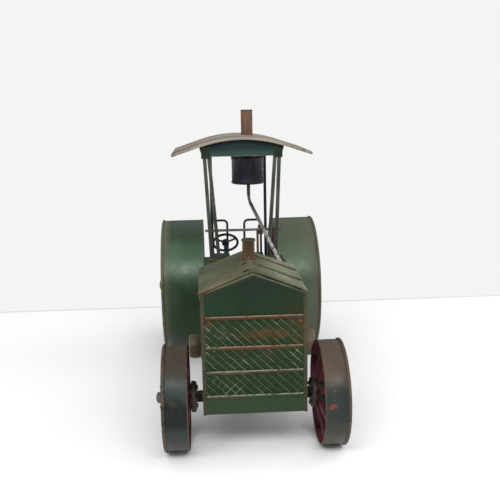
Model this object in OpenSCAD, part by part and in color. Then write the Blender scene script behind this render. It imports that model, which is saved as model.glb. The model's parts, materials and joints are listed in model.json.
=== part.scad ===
// Tinplate display model of an early farm tractor with a canopy.
// Front towards -Y, driver's left towards +X, ground at Z = 0, origin under the middle of the part.

/* [Wheels] */
// Diameter of a front wheel over its outer bead
front_wheel_d = 72; // [66:1:78]
// Width of a front wheel
front_wheel_w = 17; // [14:1:19]
// Distance between the middles of the front wheels
front_track = 104; // [103:1:116]
// Diameter of a rear wheel over its outer bead
rear_wheel_d = 124; // [118:1:134]
// Width of a rear wheel
rear_wheel_w = 38; // [30:1:40]
// Distance between the middles of the rear wheels
rear_track = 102; // [100:1:116]
// Distance between the front and rear axles
wheelbase = 210; // [205:1:230]
// Thickness of a tread band
tread_t = 1.2; // [0.8:0.1:1.8]
// Diameter of the rolled bead on a wheel's outer edge
outer_bead_d = 2.4; // [2:0.1:3]
// Diameter of the rolled bead on a wheel's inner edge
inner_bead_d = 1.8; // [1.4:0.1:2]
// How far the outer bead stands out of the tread
bead_rise = 0.9; // [0.5:0.1:1]
// Spokes in each of a wheel's two rows
row_spokes = 8; // [6:1:10]
// Width of a spoke strip
spoke_w = 3.4; // [2:0.1:4.5]
// Thickness of a spoke strip
spoke_t = 1.3; // [0.8:0.1:2]

/* [Axles and hubs] */
// Width and height of the square front axle bar
axle_bar = 6; // [5:0.5:7]
// Diameter of the front axle's round ends
front_stub_d = 4.5; // [4:0.1:5.5]
// Diameter of the rear axle
rear_axle_d = 6; // [5:0.5:7]
// Diameter of a front hub's barrel
front_barrel_d = 14; // [11:0.5:16]
// Diameter of a front hub's flanges
front_flange_d = 21; // [18:0.5:24]
// Diameter of a rear hub's barrel
rear_barrel_d = 18; // [14:0.5:20]
// Diameter of a rear hub's flanges
rear_flange_d = 28; // [24:0.5:32]
// Thickness of a hub flange
flange_t = 3.5; // [2:0.5:4.5]
// How far a hub stands out past its wheel
hub_proud = 1.5; // [0.5:0.5:3]
// Wall of an axle nut, from its axle to its flats
nut_wall = 1.25; // [1:0.05:1.6]
// Thickness of an axle nut
nut_t = 2.6; // [1.5:0.1:4]
// Diameter of the steering kingpin
kingpin_d = 6; // [4:0.5:7]
// Diameter of the boss in the middle of the front axle
axle_boss_d = 13; // [11:0.5:15]
// Height of that boss
axle_boss_h = 9; // [8:0.5:12]

/* [Frame] */
// Distance over the outer faces of the frame rails
frame_w = 48; // [44:1:52]
// Width of a rail's flanges
rail_w = 7; // [5:0.5:9]
// Height of a rail
rail_h = 8; // [7.5:0.5:9]
// Thickness of a rail's web and flanges
rail_t = 1.6; // [1:0.1:2]
// Thickness of the front bolster and of the drawbar
bar_t = 3; // [2:0.5:4]
// Distance from the rear axle to the rails' rear ends
rail_tail = 16; // [13:1:24]
// Distance from the rear axle to the drawbar's hole
drawbar_reach = 44; // [36:1:54]
// Diameter of the drawbar's hole
drawbar_hole_d = 4; // [2.5:0.5:6]
// Width of the drawbar's tongue
drawbar_w = 12; // [9:0.5:16]

/* [Hood] */
// Width of the hood
hood_w = 68; // [64:1:69]
// Length of the hood
hood_l = 85; // [80:1:92]
// How far the radiator face stands in front of the front axle
hood_overhang = 20; // [16:1:26]
// Height of the hood's lower edge above the ground
hood_bottom_z = 30.5; // [28:0.5:33]
// Height of the eaves above the ground
eave_z = 110.5; // [106:0.5:116]
// Rise of the ridge above the eaves
ridge_rise = 12.5; // [9:0.5:16]
// Thickness of the sheet metal
sheet_t = 1.2; // [0.8:0.1:1.5]
// Width of the raised border round the radiator face
border_w = 2.2; // [1.8:0.1:3.6]
// How far that border and the roof bands stand proud
border_t = 1; // [0.6:0.1:1.2]
// Distance from the radiator face to the front roof band, at the eaves
band_from_front = 7; // [5:0.5:12]
// Length of the rear roof band, at the eaves
rear_band_l = 22; // [18:0.5:26]
// How far a band's front edge runs back from the eaves to the ridge
band_sweep = 6; // [4:0.5:16]
// How far the roof overhangs the hood's sides
eave_overhang = 0.6; // [0.2:0.1:1.5]
// Width of the side cut-outs that the front axle swings in
axle_gap_w = 24; // [23:1:30]

/* [Grille] */
// Height of the plain band under the grille
plain_band_h = 12; // [9:0.5:15]
// Height of the lower mesh strip, middle of bar to middle of bar
lower_strip_h = 16.5; // [13:0.5:18]
// Height of the middle mesh strip
middle_strip_h = 16.5; // [13:0.5:18]
// Height of the upper mesh strip
upper_strip_h = 20; // [15:0.5:22]
// Diameter of the half-round grille bars
grille_bar_d = 2.6; // [2:0.1:3.4]
// Width of a diamond of the mesh
diamond_w = 5.8; // [5:0.1:8]
// Height of a diamond of the mesh
diamond_h = 5.6; // [5:0.1:8]
// Width of the mesh wires
mesh_wire_w = 0.7; // [0.5:0.1:1]
// Thickness of the mesh
mesh_t = 0.7; // [0.5:0.1:1]

/* [Filler neck] */
// Outer diameter of the filler neck
neck_d = 8.6; // [8:0.1:11]
// Inner diameter of the filler neck
neck_bore_d = 6.8; // [6.4:0.1:7.2]
// Height of the neck above the ridge
neck_h = 14; // [10:0.5:18]
// Diameter of the neck's flared foot
neck_foot_d = 10.2; // [9.6:0.1:13]
// Distance from the radiator face to the neck's middle
neck_from_front = 52; // [45:1:60]

/* [Engine] */
// Width of the engine casing
casing_w = 62; // [58:1:64]
// Length of the engine casing
casing_l = 47; // [44:1:52]
// Height of the casing's lid above the ground
casing_top_z = 107; // [103:0.5:108]
// Diameter of the crankshaft
crank_d = 5; // [4:0.5:5.5]
// Distance of the crankshaft behind the hood
crank_back = 5; // [3:0.5:8]
// Diameter of the flywheel
flywheel_d = 20; // [18:0.5:24]
// Width of the flywheel's rim
flywheel_w = 6; // [4:0.5:8]
// Distance from the hood's side to the flywheel
flywheel_gap = 11; // [7:0.5:13]
// Diameter of the belt pulley
pulley_d = 18.5; // [15:0.5:22]
// Width of the belt pulley
pulley_w = 9; // [7:0.5:12]
// Distance from the hood's side to the pulley
pulley_gap = 1.5; // [1:0.5:3]

/* [Exhaust] */
// Diameter of the muffler
muffler_d = 26; // [20:0.5:30]
// Height of the muffler
muffler_h = 22; // [18:0.5:24]
// Height of the muffler's underside above the ground
muffler_z = 165; // [160:0.5:167]
// Sideways place of the muffler and stack
stack_x = 6; // [0:0.5:10]
// Distance of the stack behind the roof's front edge
stack_from_front = 38; // [34:1:48]
// Outer diameter of the stack
stack_d = 9.4; // [8.5:0.1:11]
// Inner diameter of the stack
stack_bore_d = 7.4; // [6.8:0.1:8]
// Height of the stack's mouth above the ground
stack_top_z = 224.5; // [215:0.5:235]
// Diameter of the exhaust pipe
pipe_d = 2.4; // [2:0.1:2.8]
// Radius of the exhaust pipe's bend
pipe_bend_r = 10; // [7:0.5:14]
// Length of the pipe's straight drop under the muffler
pipe_drop = 12.4; // [9:0.2:14]
// How far that drop stands in front of the muffler's middle
pipe_lead = 9; // [7.5:0.1:9.6]
// Diameter of the pipe's foot flange
pipe_foot_d = 7; // [6:0.5:8]
// Thickness of that flange
pipe_foot_t = 1.6; // [1:0.1:2.5]

/* [Canopy] */
// Width of the roof
roof_w = 109; // [100:1:120]
// Length of the roof
roof_l = 92; // [86:1:100]
// Height of the roof's crown above the ground
roof_crown_z = 204.4; // [202:0.2:208]
// Width of the arched middle of the roof
roof_arch_w = 66; // [64:1:76]
// Slope of the roof's flat sides, in degrees
roof_slope = 18.3; // [14:0.1:20]
// How far the roof reaches forward of the casing's rear end
roof_lead = 17; // [15:0.5:19]
// Width of the folded hem on the roof's ends
hem_w = 3.5; // [2:0.1:5]
// Extra thickness of the hem
hem_t = 0.9; // [0.5:0.1:1.2]
// Height of the fascia boards' lower edge above the ground
fascia_z = 189.5; // [188.5:0.1:191]
// Thickness of a fascia board
fascia_t = 2; // [1.5:0.1:2.5]
// Width over the fascia's lower edge
fascia_w = 61; // [58:1:62]
// Width over the fascia's upper corners
fascia_top_w = 65; // [62:1:66]
// Distance from the roof's end to a fascia
fascia_inset = 4; // [3.6:0.1:6]
// Width of a post strip
post_w = 2.8; // [2:0.1:3.4]
// Thickness of a post strip
post_t = 2.4; // [1.6:0.1:3.2]
// Sideways place of the front posts at the fascia
post_top_x = 28.9; // [28.5:0.1:29]
// Sideways place of the front posts at their feet
post_foot_x = 25.4; // [25:0.1:26.5]
// Sideways place of the braces at the fascia
brace_top_x = 25.6; // [24:0.1:25.7]
// Sideways place of the braces at their feet
brace_foot_x = 19.6; // [18:0.1:21]
// Thickness of the posts' foot plates
foot_t = 1; // [0.6:0.1:1.6]
// Diameter of the rear posts
rear_post_d = 2.6; // [2:0.1:3.4]
// Sideways place of the rear posts
rear_post_x = 24; // [22.5:0.5:26]
// Diameter of the crossbar between the front posts
crossbar_d = 2; // [1.6:0.1:2.6]
// How far the crossbar lies under the exhaust pipe's middle line
crossbar_under_pipe = 3.6; // [3.4:0.1:8]

/* [Driver's place] */
// Length of the platform
platform_l = 88; // [84:1:94]
// Depth of the platform's folded edge
platform_edge = 4; // [2:0.5:4.5]
// Gap between the platform and a rear wheel
wheel_gap = 2; // [1.5:0.5:4]
// Distance between the middles of the two seats
seat_spacing = 30; // [27:0.5:32]
// Sideways shift of the pair of seats
seat_shift = -3; // [-4:0.5:0]
// Width of a seat
seat_w = 18; // [16:0.5:22]
// Length of a seat
seat_l = 17; // [14:0.5:18]
// Thickness of a seat
seat_t = 1.6; // [1:0.1:2.4]
// Height of the seats above the platform
seat_h = 26; // [20:0.5:30]
// Diameter of a seat's pedestal
pedestal_d = 6; // [4:0.5:8]
// Height of the back hoops above the seats
hoop_h = 31; // [26:0.5:34]
// Width of a back hoop, middle of wire to middle of wire
hoop_w = 14.8; // [12:0.2:15.4]
// Diameter of the hoop wire
hoop_wire_d = 2; // [1.4:0.1:2.4]
// Radius of a hoop's corners
hoop_corner_r = 3.6; // [2.5:0.1:5]
// Distance from the roof's front edge to the hoops
hoop_setback = 82; // [80:1:83]
// Diameter of the steering wheel over its rim
steering_d = 21.5; // [18:0.5:23]
// Diameter of the steering wheel's rim wire
steering_wire_d = 2; // [1.4:0.1:2.6]
// Lean of the steering column from upright, in degrees
column_lean = 52; // [46:1:56]
// Diameter of the steering shaft
column_d = 3; // [2:0.1:3.6]
// Sideways place of the steering column
column_x = -14; // [-14.5:0.5:-11]
// Distance of the steering wheel's middle behind the roof's front edge
steering_setback = 18; // [17:0.5:20]
// Height of the steering wheel's middle above the casing lid
steering_h = 11.4; // [11:0.2:14]
// Height of the hand lever's pivot above the platform
lever_pivot_h = 6; // [5:0.5:9]
// Height of the hand lever's top above the platform
lever_h = 57; // [50:0.5:60]
// Length of the lever's grip
grip_l = 8; // [6:0.5:12]
// Diameter of the lever's grip
grip_d = 4.4; // [3.4:0.1:5]
// Width of the lever's flat bar
lever_w = 4; // [3.6:0.1:5]
// Thickness of the lever's flat bar
lever_t = 1.8; // [1.2:0.1:2.4]
// Diameter of the lever's pin
lever_pin_d = 2; // [1.4:0.1:2.4]
// Sideways place of the lever
lever_x = 14; // [8:0.5:16]

/* [Clearances] */
// Radial clearance of a shaft that turns in a bore
running_gap = 0.05; // [0.02:0.01:0.1]
// Gap between parts that stay still
seat_gap = 0.03; // [0.01:0.01:0.1]
// End gap between faces that turn past each other
end_gap = 0.3; // [0.2:0.05:0.6]

/* [Hidden] */
$fn = 96;

left = 1;
right = -1;

// Axle places: the part's middle lies half way between its first and last wheel
front_r = front_wheel_d / 2;
rear_r = rear_wheel_d / 2;
front_y = -(wheelbase + rear_r - front_r) / 2;
rear_y = front_y + wheelbase;

// Frame heights, from the front axle up
bolster_z = front_r + axle_boss_h / 2 + end_gap;
rail_z = bolster_z + bar_t;
rail_top = rail_z + rail_h;
rail_x = frame_w / 2;
rail_end_y = rear_y + rail_tail;

// Hood planes
hood_y = front_y - hood_overhang;
hood_end = hood_y + hood_l;
hood_x = hood_w / 2;
slope = ridge_rise / hood_x;
ridge_z = eave_z + ridge_rise;
sheet_v = sheet_t * sqrt(1 + slope * slope);
band_v = border_t * sqrt(1 + slope * slope);
roof_under_z = ridge_z - band_v - sheet_v;
panel_y = hood_y + border_t;
panel_back = panel_y + sheet_t;

// Engine and crankshaft
casing_y = hood_end + seat_gap;
casing_end = casing_y + casing_l;
lid_top = casing_top_z + sheet_t;
crank_y = hood_end + crank_back;
crank_z = rail_z + rail_h / 2;

// Canopy
roof_y = casing_end - seat_gap - roof_lead;
roof_end = roof_y + roof_l;
arch_x = roof_arch_w / 2;
arch_r = arch_x / sin(roof_slope);
arch_z = roof_crown_z - arch_r;
stack_y = roof_y + stack_from_front;
post_y = roof_y + fascia_inset + fascia_t / 2;
rear_fascia_y = roof_end - fascia_inset - fascia_t;
foot_top = lid_top + foot_t;

// Driver's place
bearing_over = 3;
bearing_under_platform = 2.5;
platform_top = rear_r + rear_axle_d / 2 + bearing_over + bearing_under_platform + sheet_t;
platform_x = rear_track / 2 - rear_wheel_w / 2 - wheel_gap;
platform_y = casing_end + seat_gap;
seat_z = platform_top + seat_h;
hoop_y = roof_y + hoop_setback;
column_y = roof_y + steering_setback;
column_z = lid_top + steering_h;
lever_to_seat = 18;
lever_y = hoop_y - seat_l - lever_to_seat;

// Colours
green = [0.16, 0.29, 0.20];
olive = [0.42, 0.42, 0.31];
red = [0.36, 0.08, 0.11];
rust = [0.38, 0.25, 0.16];
dark = [0.10, 0.10, 0.14];
iron = [0.20, 0.16, 0.15];
roof_grey = [0.45, 0.40, 0.35];

// Shared shapes

module on_side(side) {
    if (side == left) children();
    else mirror([1, 0, 0]) children();
}

// Lays a shape made along +Z down along +X
module along_x() {
    rotate([0, 90, 0]) children();
}

// A flat outline in X and Z, given thickness from y to y + t
module upright(y, t) {
    translate([0, y + t, 0]) rotate([90, 0, 0]) linear_extrude(t) children();
}

// Outline between two gable lines, a vertical thickness apart
module gable_outline(half_w, peak_z, thick) {
    polygon([
        [0, peak_z], [half_w, peak_z - half_w * slope], [half_w, peak_z - half_w * slope - thick],
        [0, peak_z - thick], [-half_w, peak_z - half_w * slope - thick], [-half_w, peak_z - half_w * slope]
    ]);
}

// Five-sided outline under a gable
module house_outline(half_w, bottom_z, peak_z) {
    polygon([
        [-half_w, bottom_z], [half_w, bottom_z], [half_w, peak_z - half_w * slope],
        [0, peak_z], [-half_w, peak_z - half_w * slope]
    ]);
}

// A strip that leans in the X-Z plane, with level ends
module leaning_strip(foot_x, foot_z, top_x, top_z, w) {
    polygon([
        [foot_x - w / 2, foot_z], [foot_x + w / 2, foot_z],
        [top_x + w / 2, top_z], [top_x - w / 2, top_z]
    ]);
}

// Wheels: made about the X axis with the outer side towards +X

module tread_band(d, w) {
    along_x() rotate_extrude() {
        translate([d / 2 - bead_rise - tread_t, -w / 2]) square([tread_t, w]);
        translate([d / 2 - outer_bead_d / 2, w / 2 - outer_bead_d / 2]) circle(d = outer_bead_d, $fn = 32);
        translate([d / 2 - bead_rise - tread_t / 2, inner_bead_d / 2 - w / 2])
            circle(d = inner_bead_d, $fn = 32);
    }
}

function tread_inner_r(d) = d / 2 - max(bead_rise + tread_t / 2 + inner_bead_d / 2, outer_bead_d);

module spoke(hub_x, rim_x, hub_r, rim_r) {
    lean = atan((rim_x - hub_x) / (rim_r - hub_r));
    reach = (rim_r - hub_r) / cos(lean) + 2 * spoke_t;
    translate([hub_x, 0, hub_r]) rotate([0, lean, 0])
        translate([-spoke_t / 2, -spoke_w / 2, -spoke_t]) cube([spoke_t, spoke_w, reach]);
}

// Two rows of flat spokes, one behind each flange, set half a pitch apart
module spoke_rows(d, w, barrel_d, hub_in, hub_out) {
    rim_r = tread_inner_r(d) - seat_gap;
    hub_r = barrel_d / 2 + seat_gap;
    rim_x = w / 2 - outer_bead_d - spoke_t;
    pitch = 360 / row_spokes;
    intersection() {
        along_x() difference() {
            translate([0, 0, -d]) cylinder(r = rim_r, h = 2 * d);
            translate([0, 0, -2 * d]) cylinder(r = hub_r, h = 4 * d);
        }
        union() {
            for (i = [0:row_spokes - 1]) {
                rotate([i * pitch, 0, 0])
                    spoke(hub_out - flange_t - spoke_t / 2 - seat_gap, rim_x, hub_r, rim_r);
                rotate([(i + 0.5) * pitch, 0, 0])
                    spoke(hub_in + flange_t + spoke_t / 2 + seat_gap, -rim_x, hub_r, rim_r);
            }
        }
    }
}

// Spool with an inner flange a little larger than the outer one
module hub(axle_d, barrel_d, flange_d, hub_in, hub_out) {
    bore_r = axle_d / 2 + running_gap;
    chamfer = 1;
    inner_r = flange_d / 2;
    outer_r = inner_r - 1.5 * chamfer;
    along_x() rotate_extrude() polygon([
        [bore_r, hub_in], [inner_r - chamfer, hub_in], [inner_r, hub_in + chamfer],
        [inner_r, hub_in + flange_t], [barrel_d / 2, hub_in + flange_t],
        [barrel_d / 2, hub_out - flange_t], [outer_r, hub_out - flange_t],
        [outer_r, hub_out - chamfer], [outer_r - chamfer, hub_out], [bore_r, hub_out]
    ]);
}

module nut_pair(x, axle_d) {
    flats = axle_d + 2 * nut_wall;
    for (side = [right, left])
        on_side(side) translate([x, 0, 0]) along_x() difference() {
            cylinder(d = flats / cos(30), h = nut_t, $fn = 6);
            translate([0, 0, -nut_t]) cylinder(r = axle_d / 2 + seat_gap, h = 3 * nut_t);
        }
}

// How far an axle shows past its nut
axle_show = 0.6;

// Front wheels: the hub's inner end stays clear of the hood when the axle swings
front_hub_clear = 4.5;
front_x = front_track / 2;
front_hub_in = hood_x + front_hub_clear - front_x;
front_hub_out = front_wheel_w / 2 + hub_proud;
front_nut_x = front_x + front_hub_out + end_gap;
stub_end = front_nut_x + nut_t + axle_show;

module at_front_wheel(side) {
    on_side(side) translate([front_x, front_y, front_r]) children();
}

module front_rim(side) {
    color(green) at_front_wheel(side) tread_band(front_wheel_d, front_wheel_w);
}

module front_spokes(side) {
    color(red) at_front_wheel(side)
        spoke_rows(front_wheel_d, front_wheel_w, front_barrel_d, front_hub_in, front_hub_out);
}

module front_hub(side) {
    color(iron) at_front_wheel(side)
        hub(front_stub_d, front_barrel_d, front_flange_d, front_hub_in, front_hub_out);
}

// Rear wheels
rear_x = rear_track / 2;
rear_hub_in = -rear_wheel_w / 2 - wheel_gap / 2;
rear_hub_out = rear_wheel_w / 2 + hub_proud;
rear_nut_x = rear_x + rear_hub_out + end_gap;
rear_axle_end = rear_nut_x + nut_t + axle_show;

module at_rear_wheel(side) {
    on_side(side) translate([rear_x, rear_y, rear_r]) children();
}

module rear_rim(side) {
    color(green) at_rear_wheel(side) tread_band(rear_wheel_d, rear_wheel_w);
}

module rear_spokes(side) {
    color(red) at_rear_wheel(side)
        spoke_rows(rear_wheel_d, rear_wheel_w, rear_barrel_d, rear_hub_in, rear_hub_out);
}

module rear_hub(side) {
    color(iron) at_rear_wheel(side)
        hub(rear_axle_d, rear_barrel_d, rear_flange_d, rear_hub_in, rear_hub_out);
}

// Frame

module rail_profile() {
    difference() {
        translate([rail_x - rail_w, rail_z]) square([rail_w, rail_h]);
        translate([rail_x - rail_w - rail_t, rail_z + rail_t]) square([rail_w, rail_h - 2 * rail_t]);
    }
}

module frame_rail(side) {
    rail_y = panel_back + sheet_t;
    boss_wall = 1.2;
    boss_d = min(crank_d + 2 * boss_wall, rail_h - rail_t);
    color(dark) on_side(side) difference() {
        union() {
            upright(rail_y, rail_end_y - rail_y) rail_profile();
            translate([rail_x - rail_w, crank_y, crank_z]) along_x()
                cylinder(d = boss_d, h = rail_w);
        }
        translate([rail_x - 2 * rail_w, crank_y, crank_z]) along_x()
            cylinder(r = crank_d / 2 + running_gap, h = 3 * rail_w);
    }
}

module front_bolster() {
    bolster_l = 18;
    half_w = hood_x - sheet_t - seat_gap;
    color(dark) difference() {
        translate([-half_w, front_y - bolster_l / 2, bolster_z]) cube([2 * half_w, bolster_l, bar_t]);
        translate([0, front_y, bolster_z - bar_t]) cylinder(r = kingpin_d / 2 + seat_gap, h = 3 * bar_t);
    }
}

module kingpin() {
    head_h = 2;
    head_d = kingpin_d + 2 * head_h;
    head_z = front_r - axle_boss_h / 2 - end_gap - head_h;
    color(iron) translate([0, front_y, head_z]) {
        cylinder(d = head_d, h = head_h);
        cylinder(d = kingpin_d, h = rail_z + head_h - head_z);
    }
}

module drawbar() {
    axle_clear = 3;
    cross_l = rail_tail - axle_clear;
    cross_y = rail_end_y - cross_l;
    hole_y = rear_y + drawbar_reach;
    color(dark) translate([0, 0, rail_z - bar_t]) difference() {
        union() {
            translate([-rail_x, cross_y, 0]) cube([2 * rail_x, cross_l, bar_t]);
            translate([-drawbar_w / 2, cross_y, 0]) cube([drawbar_w, hole_y - cross_y, bar_t]);
            translate([0, hole_y, 0]) cylinder(d = drawbar_w, h = bar_t);
        }
        translate([0, hole_y, -bar_t]) cylinder(d = drawbar_hole_d, h = 3 * bar_t);
    }
}

module front_axle() {
    shoulder_x = front_x + front_hub_in - end_gap;
    color(iron) translate([0, front_y, front_r]) difference() {
        union() {
            translate([-shoulder_x, -axle_bar / 2, -axle_bar / 2])
                cube([2 * shoulder_x, axle_bar, axle_bar]);
            translate([0, 0, -axle_boss_h / 2]) cylinder(d = axle_boss_d, h = axle_boss_h);
            translate([-stub_end, 0, 0]) along_x() cylinder(d = front_stub_d, h = 2 * stub_end);
        }
        translate([0, 0, -axle_boss_h]) cylinder(r = kingpin_d / 2 + running_gap, h = 2 * axle_boss_h);
    }
}

module axle_nuts_front() {
    color(iron) translate([0, front_y, front_r]) nut_pair(front_nut_x, front_stub_d);
}

module rear_axle() {
    color(iron) translate([-rear_axle_end, rear_y, rear_r]) along_x()
        cylinder(d = rear_axle_d, h = 2 * rear_axle_end);
}

module axle_nuts_rear() {
    color(iron) translate([0, rear_y, rear_r]) nut_pair(rear_nut_x, rear_axle_d);
}

module rear_bearings() {
    bearing_wall = 3;
    bearing_l = rear_axle_d + 2 * bearing_wall;
    bearing_top = rear_r + rear_axle_d / 2 + bearing_over;
    color(dark) for (side = [right, left])
        on_side(side) difference() {
            translate([rail_x - rail_w, rear_y - bearing_l / 2, rail_top])
                cube([rail_w, bearing_l, bearing_top - rail_top]);
            translate([rail_x - 2 * rail_w, rear_y, rear_r]) along_x()
                cylinder(r = rear_axle_d / 2 + seat_gap, h = 3 * rail_w);
        }
}

// Hood

module radiator_panel() {
    color(green) difference() {
        upright(hood_y, border_t + sheet_t) house_outline(hood_x, hood_bottom_z, ridge_z);
        upright(hood_y - border_t, 2 * border_t) difference() {
            house_outline(hood_x - border_w, hood_bottom_z, ridge_z - border_w);
            translate([-hood_x, hood_bottom_z - 2 * border_w]) square([hood_w, border_w]);
        }
    }
}

grille_z = hood_bottom_z + plain_band_h;
grille_levels = [
    grille_z,
    grille_z + lower_strip_h,
    grille_z + lower_strip_h + middle_strip_h,
    grille_z + lower_strip_h + middle_strip_h + upper_strip_h
];
grille_margin = 0.4;
grille_x = hood_x - border_w - grille_margin;

module diamond() {
    land = mesh_wire_w / sqrt(2);
    half_w = diamond_w / 2 - land;
    half_h = diamond_h / 2 - land * diamond_h / diamond_w;
    polygon([[half_w, 0], [0, half_h], [-half_w, 0], [0, -half_h]]);
}

// Diamond wire mesh in three strips, one between each pair of bars
module mesh_strip(low_z, high_z) {
    columns = ceil(2 * grille_x / diamond_w);
    rows = ceil((high_z - low_z) / diamond_h) + 1;
    difference() {
        translate([-grille_x, low_z]) square([2 * grille_x, high_z - low_z]);
        intersection() {
            translate([mesh_wire_w - grille_x, low_z + mesh_wire_w])
                square([2 * (grille_x - mesh_wire_w), high_z - low_z - 2 * mesh_wire_w]);
            union() {
                for (i = [-columns:columns], j = [0:2 * rows])
                    if ((i + j) % 2 == 0)
                        translate([i * diamond_w / 2, low_z + j * diamond_h / 2]) diamond();
            }
        }
    }
}

module grille_mesh() {
    edge = grille_bar_d / 2 + seat_gap;
    color(green) for (k = [0:2])
        upright(panel_y - mesh_t - seat_gap, mesh_t)
            mesh_strip(grille_levels[k] + edge, grille_levels[k + 1] - edge);
}

module grille_bars() {
    color(rust) for (z = grille_levels)
        difference() {
            translate([-grille_x, panel_y - seat_gap, z]) along_x()
                cylinder(d = grille_bar_d, h = 2 * grille_x);
            translate([-hood_x, panel_y - seat_gap, z - grille_bar_d])
                cube([hood_w, grille_bar_d, 2 * grille_bar_d]);
        }
}

module hood_side(side) {
    side_y = panel_back + seat_gap;
    inner_x = hood_x - sheet_t;
    side_l = hood_end - sheet_t - seat_gap - side_y;
    color(green) on_side(side) difference() {
        upright(side_y, side_l) polygon([
            [inner_x, hood_bottom_z], [hood_x, hood_bottom_z],
            [hood_x, roof_under_z - hood_x * slope], [inner_x, roof_under_z - inner_x * slope]
        ]);
        translate([hood_x - 2 * sheet_t, front_y - axle_gap_w / 2, hood_bottom_z - bar_t])
            cube([3 * sheet_t, axle_gap_w, bolster_z - hood_bottom_z + bar_t]);
    }
}

module hood_rear_panel() {
    color(green) upright(hood_end - sheet_t, sheet_t) house_outline(hood_x, rail_top, roof_under_z);
}

module hood_roof() {
    roof_l0 = hood_end - panel_back - seat_gap;
    color(olive) upright(panel_back + seat_gap, roof_l0)
        gable_outline(hood_x + eave_overhang, ridge_z - band_v, sheet_v);
}

// Bands lie on the roof sheet; their swept front edges step up towards the rear
band_x = hood_x + 2 * eave_overhang;
band_groove = 0.6;
rear_band_y = hood_end - rear_band_l;

module roof_band(plan) {
    color(olive) intersection() {
        upright(hood_y, hood_l) gable_outline(band_x, ridge_z, band_v);
        translate([0, 0, eave_z - hood_x]) linear_extrude(2 * hood_x) polygon(plan);
    }
}

module hood_front_band() {
    start_y = hood_y + band_from_front;
    end_y = rear_band_y - band_groove;
    roof_band([
        [-band_x, start_y], [0, start_y + band_sweep], [band_x, start_y],
        [band_x, end_y], [0, end_y + band_sweep], [-band_x, end_y]
    ]);
}

module hood_rear_band() {
    roof_band([
        [-band_x, rear_band_y], [0, rear_band_y + band_sweep], [band_x, rear_band_y],
        [band_x, hood_end], [-band_x, hood_end]
    ]);
}

// Open neck, cut underneath to sit astride the ridge
module filler_neck() {
    lip_h = 1.4;
    lip_out = 0.6;
    lip_r = neck_d / 2 + lip_out;
    foot_h = 2.5;
    seat_z0 = ridge_z - neck_foot_d * slope;
    mouth_z = ridge_z + neck_h;
    color(rust) difference() {
        translate([0, hood_y + neck_from_front, 0]) rotate_extrude() polygon([
            [neck_bore_d / 2, seat_z0], [neck_foot_d / 2, seat_z0], [neck_foot_d / 2, ridge_z],
            [neck_d / 2, ridge_z + foot_h], [neck_d / 2, mouth_z - lip_h], [lip_r, mouth_z - lip_h],
            [lip_r, mouth_z], [neck_bore_d / 2, mouth_z]
        ]);
        upright(hood_y, hood_l) house_outline(hood_x, hood_bottom_z, ridge_z + seat_gap);
    }
}

// Engine

module engine_casing() {
    half_w = casing_w / 2;
    color(green) translate([-half_w, casing_y, rail_top]) difference() {
        cube([casing_w, casing_l, casing_top_z - rail_top]);
        translate([sheet_t, sheet_t, -sheet_t])
            cube([casing_w - 2 * sheet_t, casing_l - 2 * sheet_t, casing_top_z - rail_top + 2 * sheet_t]);
    }
}

// Places a shape along the steering column, with +Z up the column and the wheel's middle at 0
module along_column() {
    translate([column_x, column_y, column_z]) rotate([-column_lean, 0, 0]) children();
}

column_below_lid = 8;
column_reach = (column_z - casing_top_z) / cos(column_lean) + column_below_lid;

module casing_lid() {
    lip = 1;
    half_w = casing_w / 2 + lip;
    bush_wall = 1;
    bush_d = column_d + 2 * bush_wall;
    bush_below_wheel = 13;
    color(green) difference() {
        union() {
            translate([-half_w, casing_y, casing_top_z]) cube([2 * half_w, casing_l + lip, sheet_t]);
            intersection() {
                along_column() translate([0, 0, -column_reach])
                    cylinder(d = bush_d, h = column_reach - bush_below_wheel);
                translate([-half_w, casing_y, casing_top_z]) cube([2 * half_w, casing_l, steering_h]);
            }
        }
        along_column() translate([0, 0, -2 * column_reach])
            cylinder(r = column_d / 2 + running_gap, h = 3 * column_reach);
    }
}

module crankshaft() {
    show = 1;
    far_left = hood_x + flywheel_gap + flywheel_w + show;
    far_right = hood_x + pulley_gap + pulley_w + show;
    color(iron) translate([-far_right, crank_y, crank_z]) along_x()
        cylinder(d = crank_d, h = far_left + far_right);
}

// Disc flywheel with a heavy rim and a thin web, bored for the crankshaft
module flywheel() {
    rim_t = 2;
    web_t = 2;
    boss_wall = 3;
    boss_r = crank_d / 2 + boss_wall;
    rim_r = flywheel_d / 2;
    web_x = (flywheel_w - web_t) / 2;
    bore_r = crank_d / 2 + seat_gap;
    color(rust) translate([hood_x + flywheel_gap, crank_y, crank_z]) along_x() rotate_extrude() polygon([
        [bore_r, 0], [boss_r, 0], [boss_r, web_x], [rim_r - rim_t, web_x], [rim_r - rim_t, 0], [rim_r, 0],
        [rim_r, flywheel_w], [rim_r - rim_t, flywheel_w], [rim_r - rim_t, web_x + web_t],
        [boss_r, web_x + web_t], [boss_r, flywheel_w], [bore_r, flywheel_w]
    ]);
}

// Crowned belt pulley
module belt_pulley() {
    crown = 0.8;
    face_r = pulley_d / 2 - crown;
    crown_r = (pulley_w * pulley_w / 4 + crown * crown) / (2 * crown);
    middle_x = -hood_x - pulley_gap - pulley_w / 2;
    color(rust) translate([middle_x, crank_y, crank_z]) along_x() rotate_extrude()
        difference() {
            intersection() {
                translate([0, -pulley_w / 2]) square([pulley_d, pulley_w]);
                union() {
                    translate([0, -pulley_w / 2]) square([face_r, pulley_w]);
                    intersection() {
                        translate([face_r, -pulley_w / 2]) square([crown, pulley_w]);
                        translate([pulley_d / 2 - crown_r, 0]) circle(r = crown_r);
                    }
                }
            }
            translate([-pulley_w, -pulley_w]) square([pulley_w + crank_d / 2 + seat_gap, 2 * pulley_w]);
        }
}

// Exhaust

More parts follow.
